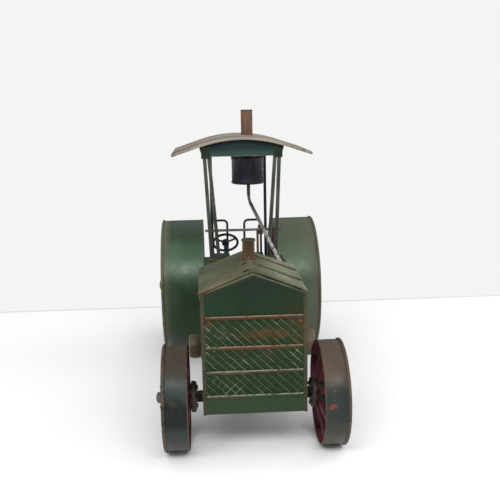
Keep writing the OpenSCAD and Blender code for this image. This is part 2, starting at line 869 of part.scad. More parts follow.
pipe_foot_x = casing_w / 2 - pipe_foot_d / 2;
pipe_foot_y = casing_y + pipe_foot_d / 2 + end_gap;
pipe_top_y = stack_y - pipe_lead;
pipe_plan = [pipe_foot_x - stack_x, pipe_foot_y - pipe_top_y];
pipe_turn = atan2(pipe_plan[1], pipe_plan[0]);
pipe_out = norm(pipe_plan);
pipe_knee_z = muffler_z - pipe_drop;
pipe_lean = atan(pipe_out / (pipe_knee_z - lid_top));
pipe_fall = (pipe_knee_z - lid_top) / (pipe_top_y - pipe_foot_y);

// The crossbar runs behind the front posts and just under the pipe
crossbar_y = post_y + post_t / 2 + crossbar_d / 2 + seat_gap;
crossbar_z = pipe_knee_z - (pipe_top_y - crossbar_y) * pipe_fall - crossbar_under_pipe;

// Straight drop, a swept bend and a slanting run down to a flange on the casing lid;
// the straight tubes are sleeved a little over the bend's ends
module exhaust_pipe() {
    lap = 1;
    sleeve_wall = 0.2;
    sleeve_d = pipe_d + 2 * sleeve_wall;
    bend_run = pipe_bend_r * tan(pipe_lean / 2);
    slant = pipe_out / sin(pipe_lean);
    color(dark) difference() {
        translate([stack_x, pipe_top_y, 0]) rotate([0, 0, pipe_turn]) {
            translate([0, 0, pipe_knee_z + bend_run - lap])
                cylinder(d = sleeve_d, h = muffler_z - seat_gap - pipe_knee_z - bend_run + lap);
            translate([pipe_bend_r, 0, pipe_knee_z + bend_run]) rotate([90, 0, 180])
                rotate_extrude(angle = -pipe_lean) translate([pipe_bend_r, 0]) circle(d = pipe_d, $fn = 32);
            translate([0, 0, pipe_knee_z]) rotate([0, 180 - pipe_lean, 0])
                translate([0, 0, bend_run - lap])
                    cylinder(d = sleeve_d, h = slant + pipe_d - bend_run + lap);
            translate([pipe_out, 0, lid_top]) cylinder(d = pipe_foot_d, h = pipe_foot_t);
        }
        translate([-casing_w, casing_y - casing_l, lid_top - casing_l + seat_gap])
            cube([2 * casing_w, 3 * casing_l, casing_l]);
    }
}

module muffler() {
    rim_t = 2;
    rim = 0.5;
    chamfer = 1;
    r = muffler_d / 2;
    color(dark) translate([stack_x, stack_y, muffler_z]) rotate_extrude() polygon([
        [0, 0], [r + rim - chamfer, 0], [r + rim, chamfer], [r + rim, rim_t], [r, rim_t],
        [r, muffler_h - rim_t], [r + rim, muffler_h - rim_t], [r + rim, muffler_h], [0, muffler_h]
    ]);
}

module exhaust_stack() {
    stack_z = muffler_z + muffler_h + seat_gap;
    color(rust) translate([stack_x, stack_y, stack_z]) difference() {
        cylinder(d = stack_d, h = stack_top_z - stack_z);
        translate([0, 0, sheet_t]) cylinder(d = stack_bore_d, h = stack_top_z - stack_z);
    }
}

// Canopy

// Arched middle and flat sloping sides, from y over a length l, thick inwards from the top
module roof_shell(y, l, thick) {
    side_l = (roof_w / 2 - arch_x) / cos(roof_slope);
    translate([0, y + l, arch_z]) rotate([90, 0, 0]) {
        rotate([0, 0, 90 - roof_slope]) rotate_extrude(angle = 2 * roof_slope)
            translate([arch_r - thick, 0]) square([thick, l]);
        for (side = [right, left])
            on_side(side) rotate([0, 0, -roof_slope])
                translate([0, arch_r - thick, 0]) cube([side_l, thick, l]);
    }
}

module roof_sheet() {
    color(roof_grey) difference() {
        union() {
            roof_shell(roof_y, roof_l, sheet_t);
            roof_shell(roof_y, hem_w, sheet_t + hem_t);
            roof_shell(roof_end - hem_w, hem_w, sheet_t + hem_t);
        }
        translate([stack_x, stack_y, roof_crown_z - stack_d])
            cylinder(r = stack_d / 2 + seat_gap, h = 2 * stack_d);
    }
}

// Cross board with splayed ends, arched to carry the roof
module fascia(y) {
    splay_h = 6;
    splay_z = fascia_z + splay_h;
    color(green) upright(y, fascia_t) intersection() {
        translate([0, arch_z]) circle(r = arch_r - sheet_t - seat_gap, $fn = 180);
        polygon([
            [-fascia_w / 2, fascia_z], [fascia_w / 2, fascia_z],
            [fascia_top_w / 2, splay_z], [fascia_top_w / 2, roof_crown_z],
            [-fascia_top_w / 2, roof_crown_z], [-fascia_top_w / 2, splay_z]
        ]);
    }
}

module front_fascia() {
    fascia(roof_y + fascia_inset);
}

module rear_fascia() {
    fascia(rear_fascia_y);
}

module post(side) {
    color(green) on_side(side) upright(post_y - post_t / 2, post_t)
        leaning_strip(post_foot_x, foot_top, post_top_x, fascia_z, post_w);
}

module brace(side) {
    color(green) on_side(side) upright(post_y - post_t / 2, post_t)
        leaning_strip(brace_foot_x, foot_top, brace_top_x, fascia_z, post_w);
}

module rear_posts() {
    color(dark) for (side = [right, left])
        on_side(side) translate([rear_post_x, rear_fascia_y + fascia_t / 2, platform_top])
            cylinder(d = rear_post_d, h = fascia_z - platform_top, $fn = 32);
}

module post_feet() {
    foot_l = 6;
    margin = 1;
    inner_x = brace_foot_x - post_w / 2 - margin;
    outer_x = post_foot_x + post_w / 2 + margin;
    color(rust) for (side = [right, left])
        on_side(side) translate([inner_x, post_y - foot_l / 2, lid_top])
            cube([outer_x - inner_x, foot_l, foot_t]);
}

module crossbar() {
    half_l = post_top_x + post_w / 2;
    color(green) translate([-half_l, crossbar_y, crossbar_z]) along_x()
        cylinder(d = crossbar_d, h = 2 * half_l, $fn = 32);
}

// Driver's place

module platform() {
    color(green) translate([-platform_x, platform_y, platform_top]) difference() {
        translate([0, 0, -platform_edge - sheet_t])
            cube([2 * platform_x, platform_l, platform_edge + sheet_t]);
        translate([sheet_t, -sheet_t, -platform_edge - 2 * sheet_t])
            cube([2 * (platform_x - sheet_t), platform_l, platform_edge + sheet_t]);
    }
}

module platform_bearers() {
    bearer_l = 6;
    inset = 6;
    bearer_h = platform_top - sheet_t - rail_top;
    color(dark) for (y = [platform_y + inset, platform_y + platform_l - inset - bearer_l])
        translate([-rail_x, y, rail_top]) cube([2 * rail_x, bearer_l, bearer_h]);
}

module at_seats() {
    for (side = [right, left])
        translate([seat_shift + side * seat_spacing / 2, hoop_y, 0]) children();
}

module seats() {
    back = hoop_wire_d;
    color(dark) at_seats() translate([-seat_w / 2, back - seat_l, seat_z - seat_t])
        cube([seat_w, seat_l, seat_t]);
}

module seat_pedestals() {
    color(dark) at_seats() translate([0, hoop_wire_d - seat_l / 2, platform_top])
        cylinder(d = pedestal_d, h = seat_h - seat_t);
}

// Bent wire back: two legs, two swept corners and a top run
module seat_hoop(side) {
    half_w = hoop_w / 2;
    leg_h = hoop_h - hoop_wire_d / 2 - hoop_corner_r;
    wire_r = hoop_wire_d / 2;
    color(dark) translate([seat_shift + side * seat_spacing / 2, hoop_y, seat_z]) {
        for (end = [right, left])
            on_side(end) {
                translate([half_w, 0, 0]) cylinder(r = wire_r, h = leg_h, $fn = 32);
                translate([half_w - hoop_corner_r, 0, leg_h]) rotate([90, 0, 0])
                    rotate_extrude(angle = 90) translate([hoop_corner_r, 0]) circle(r = wire_r, $fn = 32);
            }
        translate([hoop_corner_r - half_w, 0, leg_h + hoop_corner_r]) along_x()
            cylinder(r = wire_r, h = 2 * (half_w - hoop_corner_r), $fn = 32);
    }
}

module steering_wheel() {
    ring_r = (steering_d - steering_wire_d) / 2;
    hub_h = 3;
    hub_wall = 1.3;
    spoke_d = steering_wire_d * 0.8;
    color(dark) along_column() difference() {
        union() {
            rotate_extrude() translate([ring_r, 0]) circle(d = steering_wire_d, $fn = 32);
            translate([0, 0, -hub_h / 2]) cylinder(d = column_d + 2 * hub_wall, h = hub_h);
            for (turn = [0, 120, 240])
                rotate([0, 0, turn + 90]) along_x() cylinder(d = spoke_d, h = ring_r, $fn = 32);
        }
        translate([0, 0, -hub_h]) cylinder(r = column_d / 2 + seat_gap, h = 2 * hub_h);
    }
}

module steering_column() {
    above_hub = 2;
    color(dark) along_column() translate([0, 0, -column_reach])
        cylinder(d = column_d, h = column_reach + above_hub);
}

// Hand lever: a flat bar on a pin, with a round grip set over to the left
module hand_lever() {
    pivot_z = platform_top + lever_pivot_h;
    bar_top = platform_top + lever_h - grip_l;
    grip_shift = (grip_d + lever_t) / 2;
    color(rust) difference() {
        union() {
            translate([lever_x - lever_t / 2, lever_y - lever_w / 2, pivot_z])
                cube([lever_t, lever_w, bar_top + grip_l / 2 - pivot_z]);
            translate([lever_x - lever_t / 2, lever_y, pivot_z]) along_x()
                cylinder(d = lever_w, h = lever_t);
            translate([lever_x + grip_shift - lever_t / 4, lever_y, bar_top])
                cylinder(d = grip_d, h = grip_l);
        }
        translate([lever_x - lever_w, lever_y, pivot_z]) along_x()
            cylinder(r = lever_pin_d / 2 + running_gap, h = 2 * lever_w);
    }
}

// Two ears on a plate, with the pin that the lever swings on
module lever_bracket() {
    ear_t = 1.4;
    plate_t = 1;
    half_gap = lever_t / 2 + end_gap;
    half_w = half_gap + ear_t;
    ear_margin = 1;
    ear_l = lever_w + 2 * ear_margin;
    pivot_z = platform_top + lever_pivot_h;
    color(iron) translate([lever_x, lever_y, 0]) {
        translate([-half_w, -ear_l / 2, platform_top]) cube([2 * half_w, ear_l, plate_t]);
        for (side = [right, left])
            on_side(side) translate([half_gap, 0, 0]) {
                translate([0, -ear_l / 2, platform_top]) cube([ear_t, ear_l, lever_pivot_h]);
                translate([0, 0, pivot_z]) along_x() cylinder(d = ear_l, h = ear_t);
            }
        translate([-half_w, 0, pivot_z]) along_x() cylinder(d = lever_pin_d, h = 2 * half_w, $fn = 32);
    }
}

frame_rail(left);  // frame_rail_left
frame_rail(right);  // frame_rail_right
front_bolster();
kingpin();
drawbar();
front_axle();
axle_nuts_front();
front_rim(left);  // front_rim_left
front_spokes(left);  // front_spokes_left
front_hub(left);  // front_hub_left
front_rim(right);  // front_rim_right
front_spokes(right);  // front_spokes_right
front_hub(right);  // front_hub_right
rear_axle();
rear_bearings();
axle_nuts_rear();
rear_rim(left);  // rear_rim_left
rear_spokes(left);  // rear_spokes_left
rear_hub(left);  // rear_hub_left
rear_rim(right);  // rear_rim_right
rear_spokes(right);  // rear_spokes_right
rear_hub(right);  // rear_hub_right
radiator_panel();
grille_mesh();
grille_bars();
hood_side(left);  // hood_side_left
hood_side(right);  // hood_side_right
hood_rear_panel();
hood_roof();
hood_front_band();
hood_rear_band();
filler_neck();
engine_casing();
casing_lid();
crankshaft();
flywheel();
belt_pulley();
exhaust_pipe();
muffler();
exhaust_stack();
roof_sheet();
front_fascia();
rear_fascia();
post(left);  // post_left
post(right);  // post_right
brace(left);  // brace_left
brace(right);  // brace_right
rear_posts();
post_feet();
crossbar();
platform();
platform_bearers();
seats();
seat_pedestals();
seat_hoop(left);  // seat_hoop_left
seat_hoop(right);  // seat_hoop_right
steering_wheel();
steering_column();
hand_lever();
lever_bracket();
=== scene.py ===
"""Looks of a tinplate model farm tractor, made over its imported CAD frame.

Plain numbers for places and sizes are in millimetres. What comes from the frame and the settings is in metres.
"""

import json
import math

import bmesh
import bpy
from mathutils import Matrix, Vector, noise

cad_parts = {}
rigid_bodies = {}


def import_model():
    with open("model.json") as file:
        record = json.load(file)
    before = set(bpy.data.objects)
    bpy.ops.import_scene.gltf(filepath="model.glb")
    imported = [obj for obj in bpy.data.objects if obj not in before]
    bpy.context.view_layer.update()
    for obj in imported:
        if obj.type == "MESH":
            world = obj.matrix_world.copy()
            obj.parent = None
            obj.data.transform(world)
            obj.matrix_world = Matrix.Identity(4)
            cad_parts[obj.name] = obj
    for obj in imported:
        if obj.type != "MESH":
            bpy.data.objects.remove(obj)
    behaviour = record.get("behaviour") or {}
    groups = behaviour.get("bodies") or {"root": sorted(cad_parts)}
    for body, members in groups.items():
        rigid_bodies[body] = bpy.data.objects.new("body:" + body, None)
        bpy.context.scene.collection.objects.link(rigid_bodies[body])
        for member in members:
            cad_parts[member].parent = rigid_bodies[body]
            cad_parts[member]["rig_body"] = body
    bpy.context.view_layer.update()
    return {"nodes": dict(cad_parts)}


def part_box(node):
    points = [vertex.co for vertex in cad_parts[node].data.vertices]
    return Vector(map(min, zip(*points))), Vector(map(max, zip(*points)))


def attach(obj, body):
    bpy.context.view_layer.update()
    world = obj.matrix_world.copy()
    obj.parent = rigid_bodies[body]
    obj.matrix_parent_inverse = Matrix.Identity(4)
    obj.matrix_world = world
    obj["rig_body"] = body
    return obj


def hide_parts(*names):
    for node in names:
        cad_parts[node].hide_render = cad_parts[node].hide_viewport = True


bl_info = {
    "name": "Tin model tractor",
    "version": (1, 0, 0),
    "blender": (4, 5, 0),
    "location": "View3D > Sidebar > Tractor",
    "description": "Builds the painted sheet metal, wire mesh and spun wheels of a model tractor",
    "category": "Object",
}

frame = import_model()
FINISHES = {}
MM = 0.001

# Finishes

GREEN_SHEEN = (0.84, 1.0, 0.82)
SLATE_SHEEN = (0.87, 1.0, 0.92)


class Recipe:
    """Lays out the nodes of one finish."""

    def __init__(self, name):
        self.material = bpy.data.materials.new(name)
        self.material.use_nodes = True
        self.tree = self.material.node_tree
        self.tree.nodes.clear()
        self.shader = self.tree.nodes.new("ShaderNodeBsdfPrincipled")
        output = self.tree.nodes.new("ShaderNodeOutputMaterial")
        self.tree.links.new(self.shader.outputs["BSDF"], output.inputs["Surface"])
        self.coords = self.tree.nodes.new("ShaderNodeTexCoord")
        self.place = self.coords.outputs["Object"]

    def feed(self, socket, value):
        """Links a socket to another node's output, or sets it to a plain value."""
        if isinstance(value, bpy.types.NodeSocket):
            self.tree.links.new(value, socket)
        elif socket.type == "RGBA":
            socket.default_value = (*value[:3], 1.0)
        else:
            socket.default_value = value

    def noise(self, scale, detail=4.0, rough=0.55, stretch=None):
        """Cloudy noise, drawn out along the axes where stretch is below 1."""
        node = self.tree.nodes.new("ShaderNodeTexNoise")
        node.inputs["Scale"].default_value = scale
        node.inputs["Detail"].default_value = detail
        node.inputs["Roughness"].default_value = rough
        place = self.place
        if stretch:
            mapping = self.tree.nodes.new("ShaderNodeMapping")
            mapping.inputs["Scale"].default_value = stretch
            self.tree.links.new(self.place, mapping.inputs["Vector"])
            place = mapping.outputs["Vector"]
        self.tree.links.new(place, node.inputs["Vector"])
        return node.outputs["Fac"]

    def ramp(self, value, low, high, start=0.0, end=1.0):
        """A smooth step from start at low to end at high."""
        node = self.tree.nodes.new("ShaderNodeMapRange")
        node.interpolation_type = "SMOOTHSTEP"
        self.feed(node.inputs["Value"], value)
        node.inputs["From Min"].default_value = low
        node.inputs["From Max"].default_value = high
        node.inputs["To Min"].default_value = start
        node.inputs["To Max"].default_value = end
        return node.outputs["Result"]

    def math(self, operation, first, second=0.0):
        """One step of arithmetic."""
        node = self.tree.nodes.new("ShaderNodeMath")
        node.operation = operation
        self.feed(node.inputs[0], first)
        self.feed(node.inputs[1], second)
        return node.outputs["Value"]

    def both(self, first, second):
        """Where two masks overlap, or a mask at a share of its strength."""
        return self.math("MULTIPLY", first, second)

    def mix(self, amount, first, second):
        """One colour running into another."""
        node = self.tree.nodes.new("ShaderNodeMix")
        node.data_type = "RGBA"
        self.feed(node.inputs["Factor"], amount)
        self.feed(node.inputs[6], first)
        self.feed(node.inputs[7], second)
        return node.outputs[2]

    def share_of(self, vector, axis):
        """A vector's length along one axis."""
        split = self.tree.nodes.new("ShaderNodeSeparateXYZ")
        self.tree.links.new(vector, split.inputs["Vector"])
        return split.outputs[axis]

    def along(self, axis, low, high):
        """0 before low and 1 after high, along one axis of the part."""
        return self.ramp(self.share_of(self.place, axis), low * MM, high * MM)

    def within(self, axis, low, high, fade):
        """1 between two places along one axis of the part, fading out past them."""
        return self.both(self.along(axis, low - fade, low), self.along(axis, high + fade, high))

    def facing(self, axis, low, high):
        """How far the surface faces along one axis of the part."""
        return self.ramp(self.share_of(self.coords.outputs["Normal"], axis), low, high)

    def spot(self, centre, core, fade):
        """1 within core of a point, fading to 0 at fade."""
        node = self.tree.nodes.new("ShaderNodeVectorMath")
        node.operation = "DISTANCE"
        self.tree.links.new(self.place, node.inputs[0])
        node.inputs[1].default_value = [c * MM for c in centre]
        return self.ramp(node.outputs["Value"], core * MM, fade * MM, 1.0, 0.0)

    def wear(self):
        """1 on the edges that round_edges and spun_tread marked."""
        node = self.tree.nodes.new("ShaderNodeAttribute")
        node.attribute_name = "wear"
        return node.outputs["Fac"]

    def bump(self, *layers):
        """Heights as pairs of a value and its depth, laid over each other."""
        normal = None
        for height, depth in layers:
            node = self.tree.nodes.new("ShaderNodeBump")
            node.inputs["Strength"].default_value = 1.0
            node.inputs["Distance"].default_value = depth * MM
            self.feed(node.inputs["Height"], height)
            if normal:
                self.tree.links.new(normal, node.inputs["Normal"])
            normal = node.outputs["Normal"]
        self.tree.links.new(normal, self.shader.inputs["Normal"])

    def finish(self, colour, rough, metal=0.0, gloss=0.5):
        """Joins the recipe to its shader and gives the material."""
        self.feed(self.shader.inputs["Base Color"], colour)
        self.feed(self.shader.inputs["Roughness"], rough)
        self.feed(self.shader.inputs["Metallic"], metal)
        self.shader.inputs["Specular IOR Level"].default_value = gloss
        return self.material


def scaled(colour, share):
    """A colour made darker, or lighter by a share above 1."""
    return tuple(share * c for c in colour)


def worn_paint(
    name, base, shade, bare, cloud=35.0, chip=0.66, rough=0.45, gloss=0.2, dents=0.25,
    even=(), patches=(), sheen=None,
):
    """Old brushed paint over sheet metal: cloudy colour, thin edges, small chips and shallow dents.

    Even tones and then broken patches lie over the base, each with the mask that says where.
    """
    r = Recipe(name)
    if sheen:
        r.feed(r.shader.inputs["Specular Tint"], sheen)
    broad = r.noise(cloud, 3.0)
    fine = r.noise(cloud * 8, 5.0, 0.62)
    grain = r.noise(1900, 2.0)
    clouds = r.ramp(broad, 0.36, 0.66)
    colour = r.mix(clouds, base, shade)
    for tone, mask in even:
        colour = r.mix(mask(r), colour, r.mix(clouds, tone, scaled(tone, 0.85)))
    for tone, mask in patches:
        colour = r.mix(r.both(mask(r), r.ramp(fine, 0.36, 0.62)), colour, tone)
    edge = r.both(r.wear(), r.ramp(fine, 0.34, 0.58))
    chips = r.both(r.ramp(fine, chip, chip + 0.05), 0.75)
    worn = r.math("MAXIMUM", edge, chips)
    colour = r.mix(worn, colour, bare(r) if callable(bare) else bare)
    dust = tuple(min(1.0, c * 1.8 + 0.01) for c in base)
    colour = r.mix(r.ramp(grain, 0.3, 0.9, 0.0, 0.16), colour, dust)
    uneven = r.math("ADD", fine, r.both(worn, 0.3))
    r.bump((broad, dents), (fine, 0.05), (grain, 0.012))
    return r.finish(colour, r.ramp(uneven, 0.3, 0.9, rough - 0.08, rough + 0.22), 0.0, gloss)


def bare_iron(name, base, shade, bright, rough=0.5, metal=0.6):
    """Dark oily iron with rust bloom and rubbed edges."""
    r = Recipe(name)
    broad = r.noise(60, 4.0)
    fine = r.noise(520, 5.0, 0.65)
    colour = r.mix(r.ramp(broad, 0.38, 0.64), base, shade)
    colour = r.mix(r.both(r.wear(), r.ramp(fine, 0.4, 0.6)), colour, bright)
    r.bump((broad, 0.12), (fine, 0.06))
    return r.finish(colour, r.ramp(fine, 0.3, 0.75, rough - 0.1, rough + 0.2), metal)


def rusty_tube(name, base, shade, lip, lip_from):
    """Rust-brown tube with streaks that run down it and a stained mouth."""
    r = Recipe(name)
    streak = r.noise(420, 4.0, 0.6, stretch=(1.0, 1.0, 0.09))
    fine = r.noise(700, 5.0, 0.6)
    colour = r.mix(r.ramp(streak, 0.36, 0.64), base, shade)
    colour = r.mix(r.ramp(fine, 0.58, 0.75, 0.0, 0.6), colour, scaled(shade, 0.4))
    stain = r.both(r.along("Z", lip_from, lip_from + 1.2), r.ramp(fine, 0.25, 0.5))
    colour = r.mix(stain, colour, lip)
    r.bump((streak, 0.08), (fine, 0.06))
    return r.finish(colour, r.ramp(fine, 0.3, 0.75, 0.43, 0.7), 0.25)


def bar_finish(p):
    """Bars from copper-brown at the top to pale olive at the bottom, paler along their tops: rubbed paint and a
    painted highlight.
    """
    r = Recipe("grille_bar_copper")
    fine = r.noise(300, 5.0, 0.6)
    broad = r.noise(70, 3.0)
    purple, rose = (0.07, 0.032, 0.035), (0.072, 0.036, 0.024)
    brown, olive, tan = scaled(p.brown, 0.45), scaled(p.olive, 0.5), scaled(p.tan, 0.8)
    top_bar = r.mix(r.ramp(broad, 0.4, 0.62), scaled(p.rust, 0.36), brown)
    top_bar = r.mix(r.along("X", 24, 31), top_bar, purple)
    ends = r.mix(r.ramp(broad, 0.42, 0.6), olive, r.mix(0.5, olive, p.green))
    middle = r.both(r.along("X", -24, -16), r.along("X", 26, 18))
    second = r.mix(middle, ends, rose)
    third = r.mix(middle, olive, r.mix(r.ramp(broad, 0.4, 0.62), scaled(tan, 0.33), brown))
    fourth = r.mix(r.ramp(broad, 0.4, 0.6), olive, p.green)
    colour = r.mix(r.along("Z", 88, 82), top_bar, second)
    colour = r.mix(r.along("Z", 70, 64), colour, third)
    colour = r.mix(r.along("Z", 54, 48), colour, fourth)
    # Upward faces turn tan, and sand lower down: rubbed paint, and a painted highlight along the bars' tops.
    upward = r.both(r.facing("Z", 0.45, 0.85), r.ramp(fine, 0.32, 0.5))
    colour = r.mix(upward, colour, r.mix(r.along("Z", 80, 55), tan, p.lit_sand))
    r.bump((broad, 0.15), (fine, 0.06))
    return r.finish(colour, r.ramp(fine, 0.3, 0.7, 0.42, 0.6), 0.0, 0.12)


def pipe_finish(p):
    """Black pipe, worn grey below its bend and to bare steel and brown on its lower run."""
    r = Recipe("pipe_black_to_steel")
    fine = r.noise(380, 5.0, 0.6)
    bare = r.both(r.along("Z", 142, 122), r.ramp(fine, 0.3, 0.5))
    worn = r.mix(r.ramp(fine, 0.45, 0.62), p.steel, p.brown)
    colour = r.mix(r.along("Z", 158, 138), p.navy, scaled(p.steel, 0.26))
    colour = r.mix(bare, colour, worn)
    r.bump((fine, 0.08))
    return r.finish(colour, r.ramp(bare, 0.0, 1.0, 0.35, 0.5))


def on_radiator(x, z, behind=0.0):
    """A point on the radiator's face, or behind it."""
    return x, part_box("radiator_panel")[0].y / MM + behind, z


def rust_streaks(r):
    """Where rust has run across the upper strip of mesh and into its corners."""
    mask = r.both(r.within("X", 0, 14, 18), r.within("Z", 83, 86, 3))
    for x, z, reach in ((31, 92, 12), (31.5, 81, 8), (-31, 93, 8)):
        mask = r.math("MAXIMUM", mask, r.spot(on_radiator(x, z), 1, reach))
    return mask


def rubbed_and_highlit_brow(r):
    """Where a rear tread is rubbed pale above its front; the pale band there is also a painted highlight."""
    return r.both(r.within("Z", 94, 105, 10), r.along("Y", 72, 56))


def highlit_middle(r):
    """Where the roof is painted pale across its middle as a highlight, broken up by noise."""
    return r.both(r.within("Y", 12, 36, 14), r.ramp(r.noise(48, 4.0), 0.38, 0.62))


def dark_behind_hem(r):
    """Where the roof is darker just behind its front hem."""
    behind = r.both(r.along("Y", -19.2, -18.4), r.along("Y", 6, -16))
    return r.both(behind, r.ramp(r.noise(55, 4.0, stretch=(0.35, 1.0, 1.0)), 0.32, 0.6, 0.6, 1.0))


def grille_finishes(p):
    """Radiator panel, mesh wires and bars."""
    cool, teal, warm = (0.008, 0.0175, 0.0105), (0.007, 0.026, 0.011), (0.013, 0.020, 0.007)
    border = scaled(p.olive, 0.4)
    radiator = worn_paint(
        "radiator_green", p.deep_green, scaled(p.deep_green, 0.75),
        # Worn edges olive, darker on the gable above 105–110 mm as painted shade under the roof's front edge.
        lambda r: r.mix(r.along("Z", 105, 110), scaled(p.olive, 0.75), scaled(p.olive, 0.3)),
        cloud=28, chip=0.78, rough=0.5, dents=0.35, sheen=GREEN_SHEEN,
        even=[
            (p.leaf_green, lambda r: r.along("Z", 46, 42)),
            (p.mesh_green, lambda r: r.within("Z", 44, 92, 3)),
            (cool, lambda r: r.spot(on_radiator(3, 118), 4, 20)),
            (teal, lambda r: r.spot(on_radiator(-24, 101), 2, 15)),
            (warm, lambda r: r.spot(on_radiator(26, 102), 2, 13)),
            (border, lambda r: r.along("X", 31.4, 31.9)),
            (border, lambda r: r.along("X", -31.4, -31.9)),
        ],
        patches=[
            (scaled(p.rust, 0.45), rust_streaks),
            (scaled(p.olive, 0.8), lambda r: r.spot(on_radiator(-21, 86), 1, 6)),
            (scaled(p.brown, 0.5), lambda r: r.spot(on_radiator(-9, 71), 1, 9)),
            (scaled(p.brown, 0.5), lambda r: r.spot(on_radiator(9, 72), 1, 8)),
        ],
    )
    wire = worn_paint(
        "wire_light", scaled(p.wire, 0.75), scaled(p.wire, 0.3), p.tan, cloud=160, chip=0.66, gloss=0.12,
        even=[
            (scaled(p.wire, 1.7), lambda r: r.ramp(r.noise(75, 3.0), 0.54, 0.66)),
            (scaled(p.wire, 0.42), lambda r: r.both(r.along("Z", 64, 54), 0.7)),
        ],
        patches=[(scaled(p.rust, 0.8), rust_streaks)],
    )
    wire_back = worn_paint(
        "wire_green", scaled(p.wire, 0.32), p.deep_green, p.olive, cloud=160, chip=0.66, gloss=0.12,
        even=[(scaled(p.wire, 0.9), lambda r: r.ramp(r.noise(75, 3.0), 0.56, 0.66))],
        patches=[(scaled(p.rust, 0.6), rust_streaks)],
    )
    return {"radiator": radiator, "wire": wire, "wire_back": wire_back, "bars": bar_finish(p)}


def hood_finishes(p):
    """Body sheets, roof plates, the filler neck, and the near-black seam finish that paints shade in the open
    seams and slots.
    """
    neck_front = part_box("filler_neck")[0].y / MM
    neck_rust, neck_shade = (0.080, 0.038, 0.009), (0.048, 0.024, 0.006)
    body = worn_paint(
        "body_green", p.green, p.deep_green, p.olive, cloud=30, chip=0.72, rough=0.46, sheen=GREEN_SHEEN,
    )
    hood = worn_paint(
        "hood_olive", p.khaki, scaled(p.khaki, 0.7), p.olive, cloud=34, chip=0.72, rough=0.5, dents=0.4,
        even=[
            # Painted light: the left slope (+X) made paler, as the window at the right lights it.
            (p.lit_sand, lambda r: r.both(r.along("X", 2, 24), 0.5)),
            (scaled(p.khaki, 1.35), lambda r: r.spot(on_radiator(-24, 113, 4), 6, 20)),
            (scaled(p.rust, 0.8), lambda r: r.spot(on_radiator(-33, 110, 1), 4, 13)),
            (scaled(p.tan, 0.42), lambda r: r.both(r.spot((0, neck_front - 2, 126), 6, 14), 0.75)),
        ],
        patches=[
            # More painted window light on the left slope, broken up by noise.
            (scaled(p.lit_sand, 1.2), lambda r: r.both(r.along("X", 2, 24), 0.3)),
            (scaled(p.tan, 0.5), lambda r: r.spot(on_radiator(-22, 114, 8), 4, 18)),
            (p.green, lambda r: r.ramp(r.noise(55, 4.0, stretch=(1.0, 0.25, 1.0)), 0.5, 0.66, 0.0, 0.6)),
            (p.brown, lambda r: r.ramp(r.noise(90, 3.0), 0.58, 0.7, 0.0, 0.6)),
        ],
    )
    # Painted shade: near-black brown where shade falls under the lifted plate edges and in the slots.
    seam_shade = bare_iron("open_seam_shade", scaled(p.brown, 0.3), scaled(p.brown, 0.12), p.brown, 0.7, 0.0)
    neck = rusty_tube("neck_rust", neck_rust, neck_shade, scaled(p.olive, 0.4), 134.6)
    return {"body": body, "hood": hood, "seam_shade": seam_shade, "neck": neck}


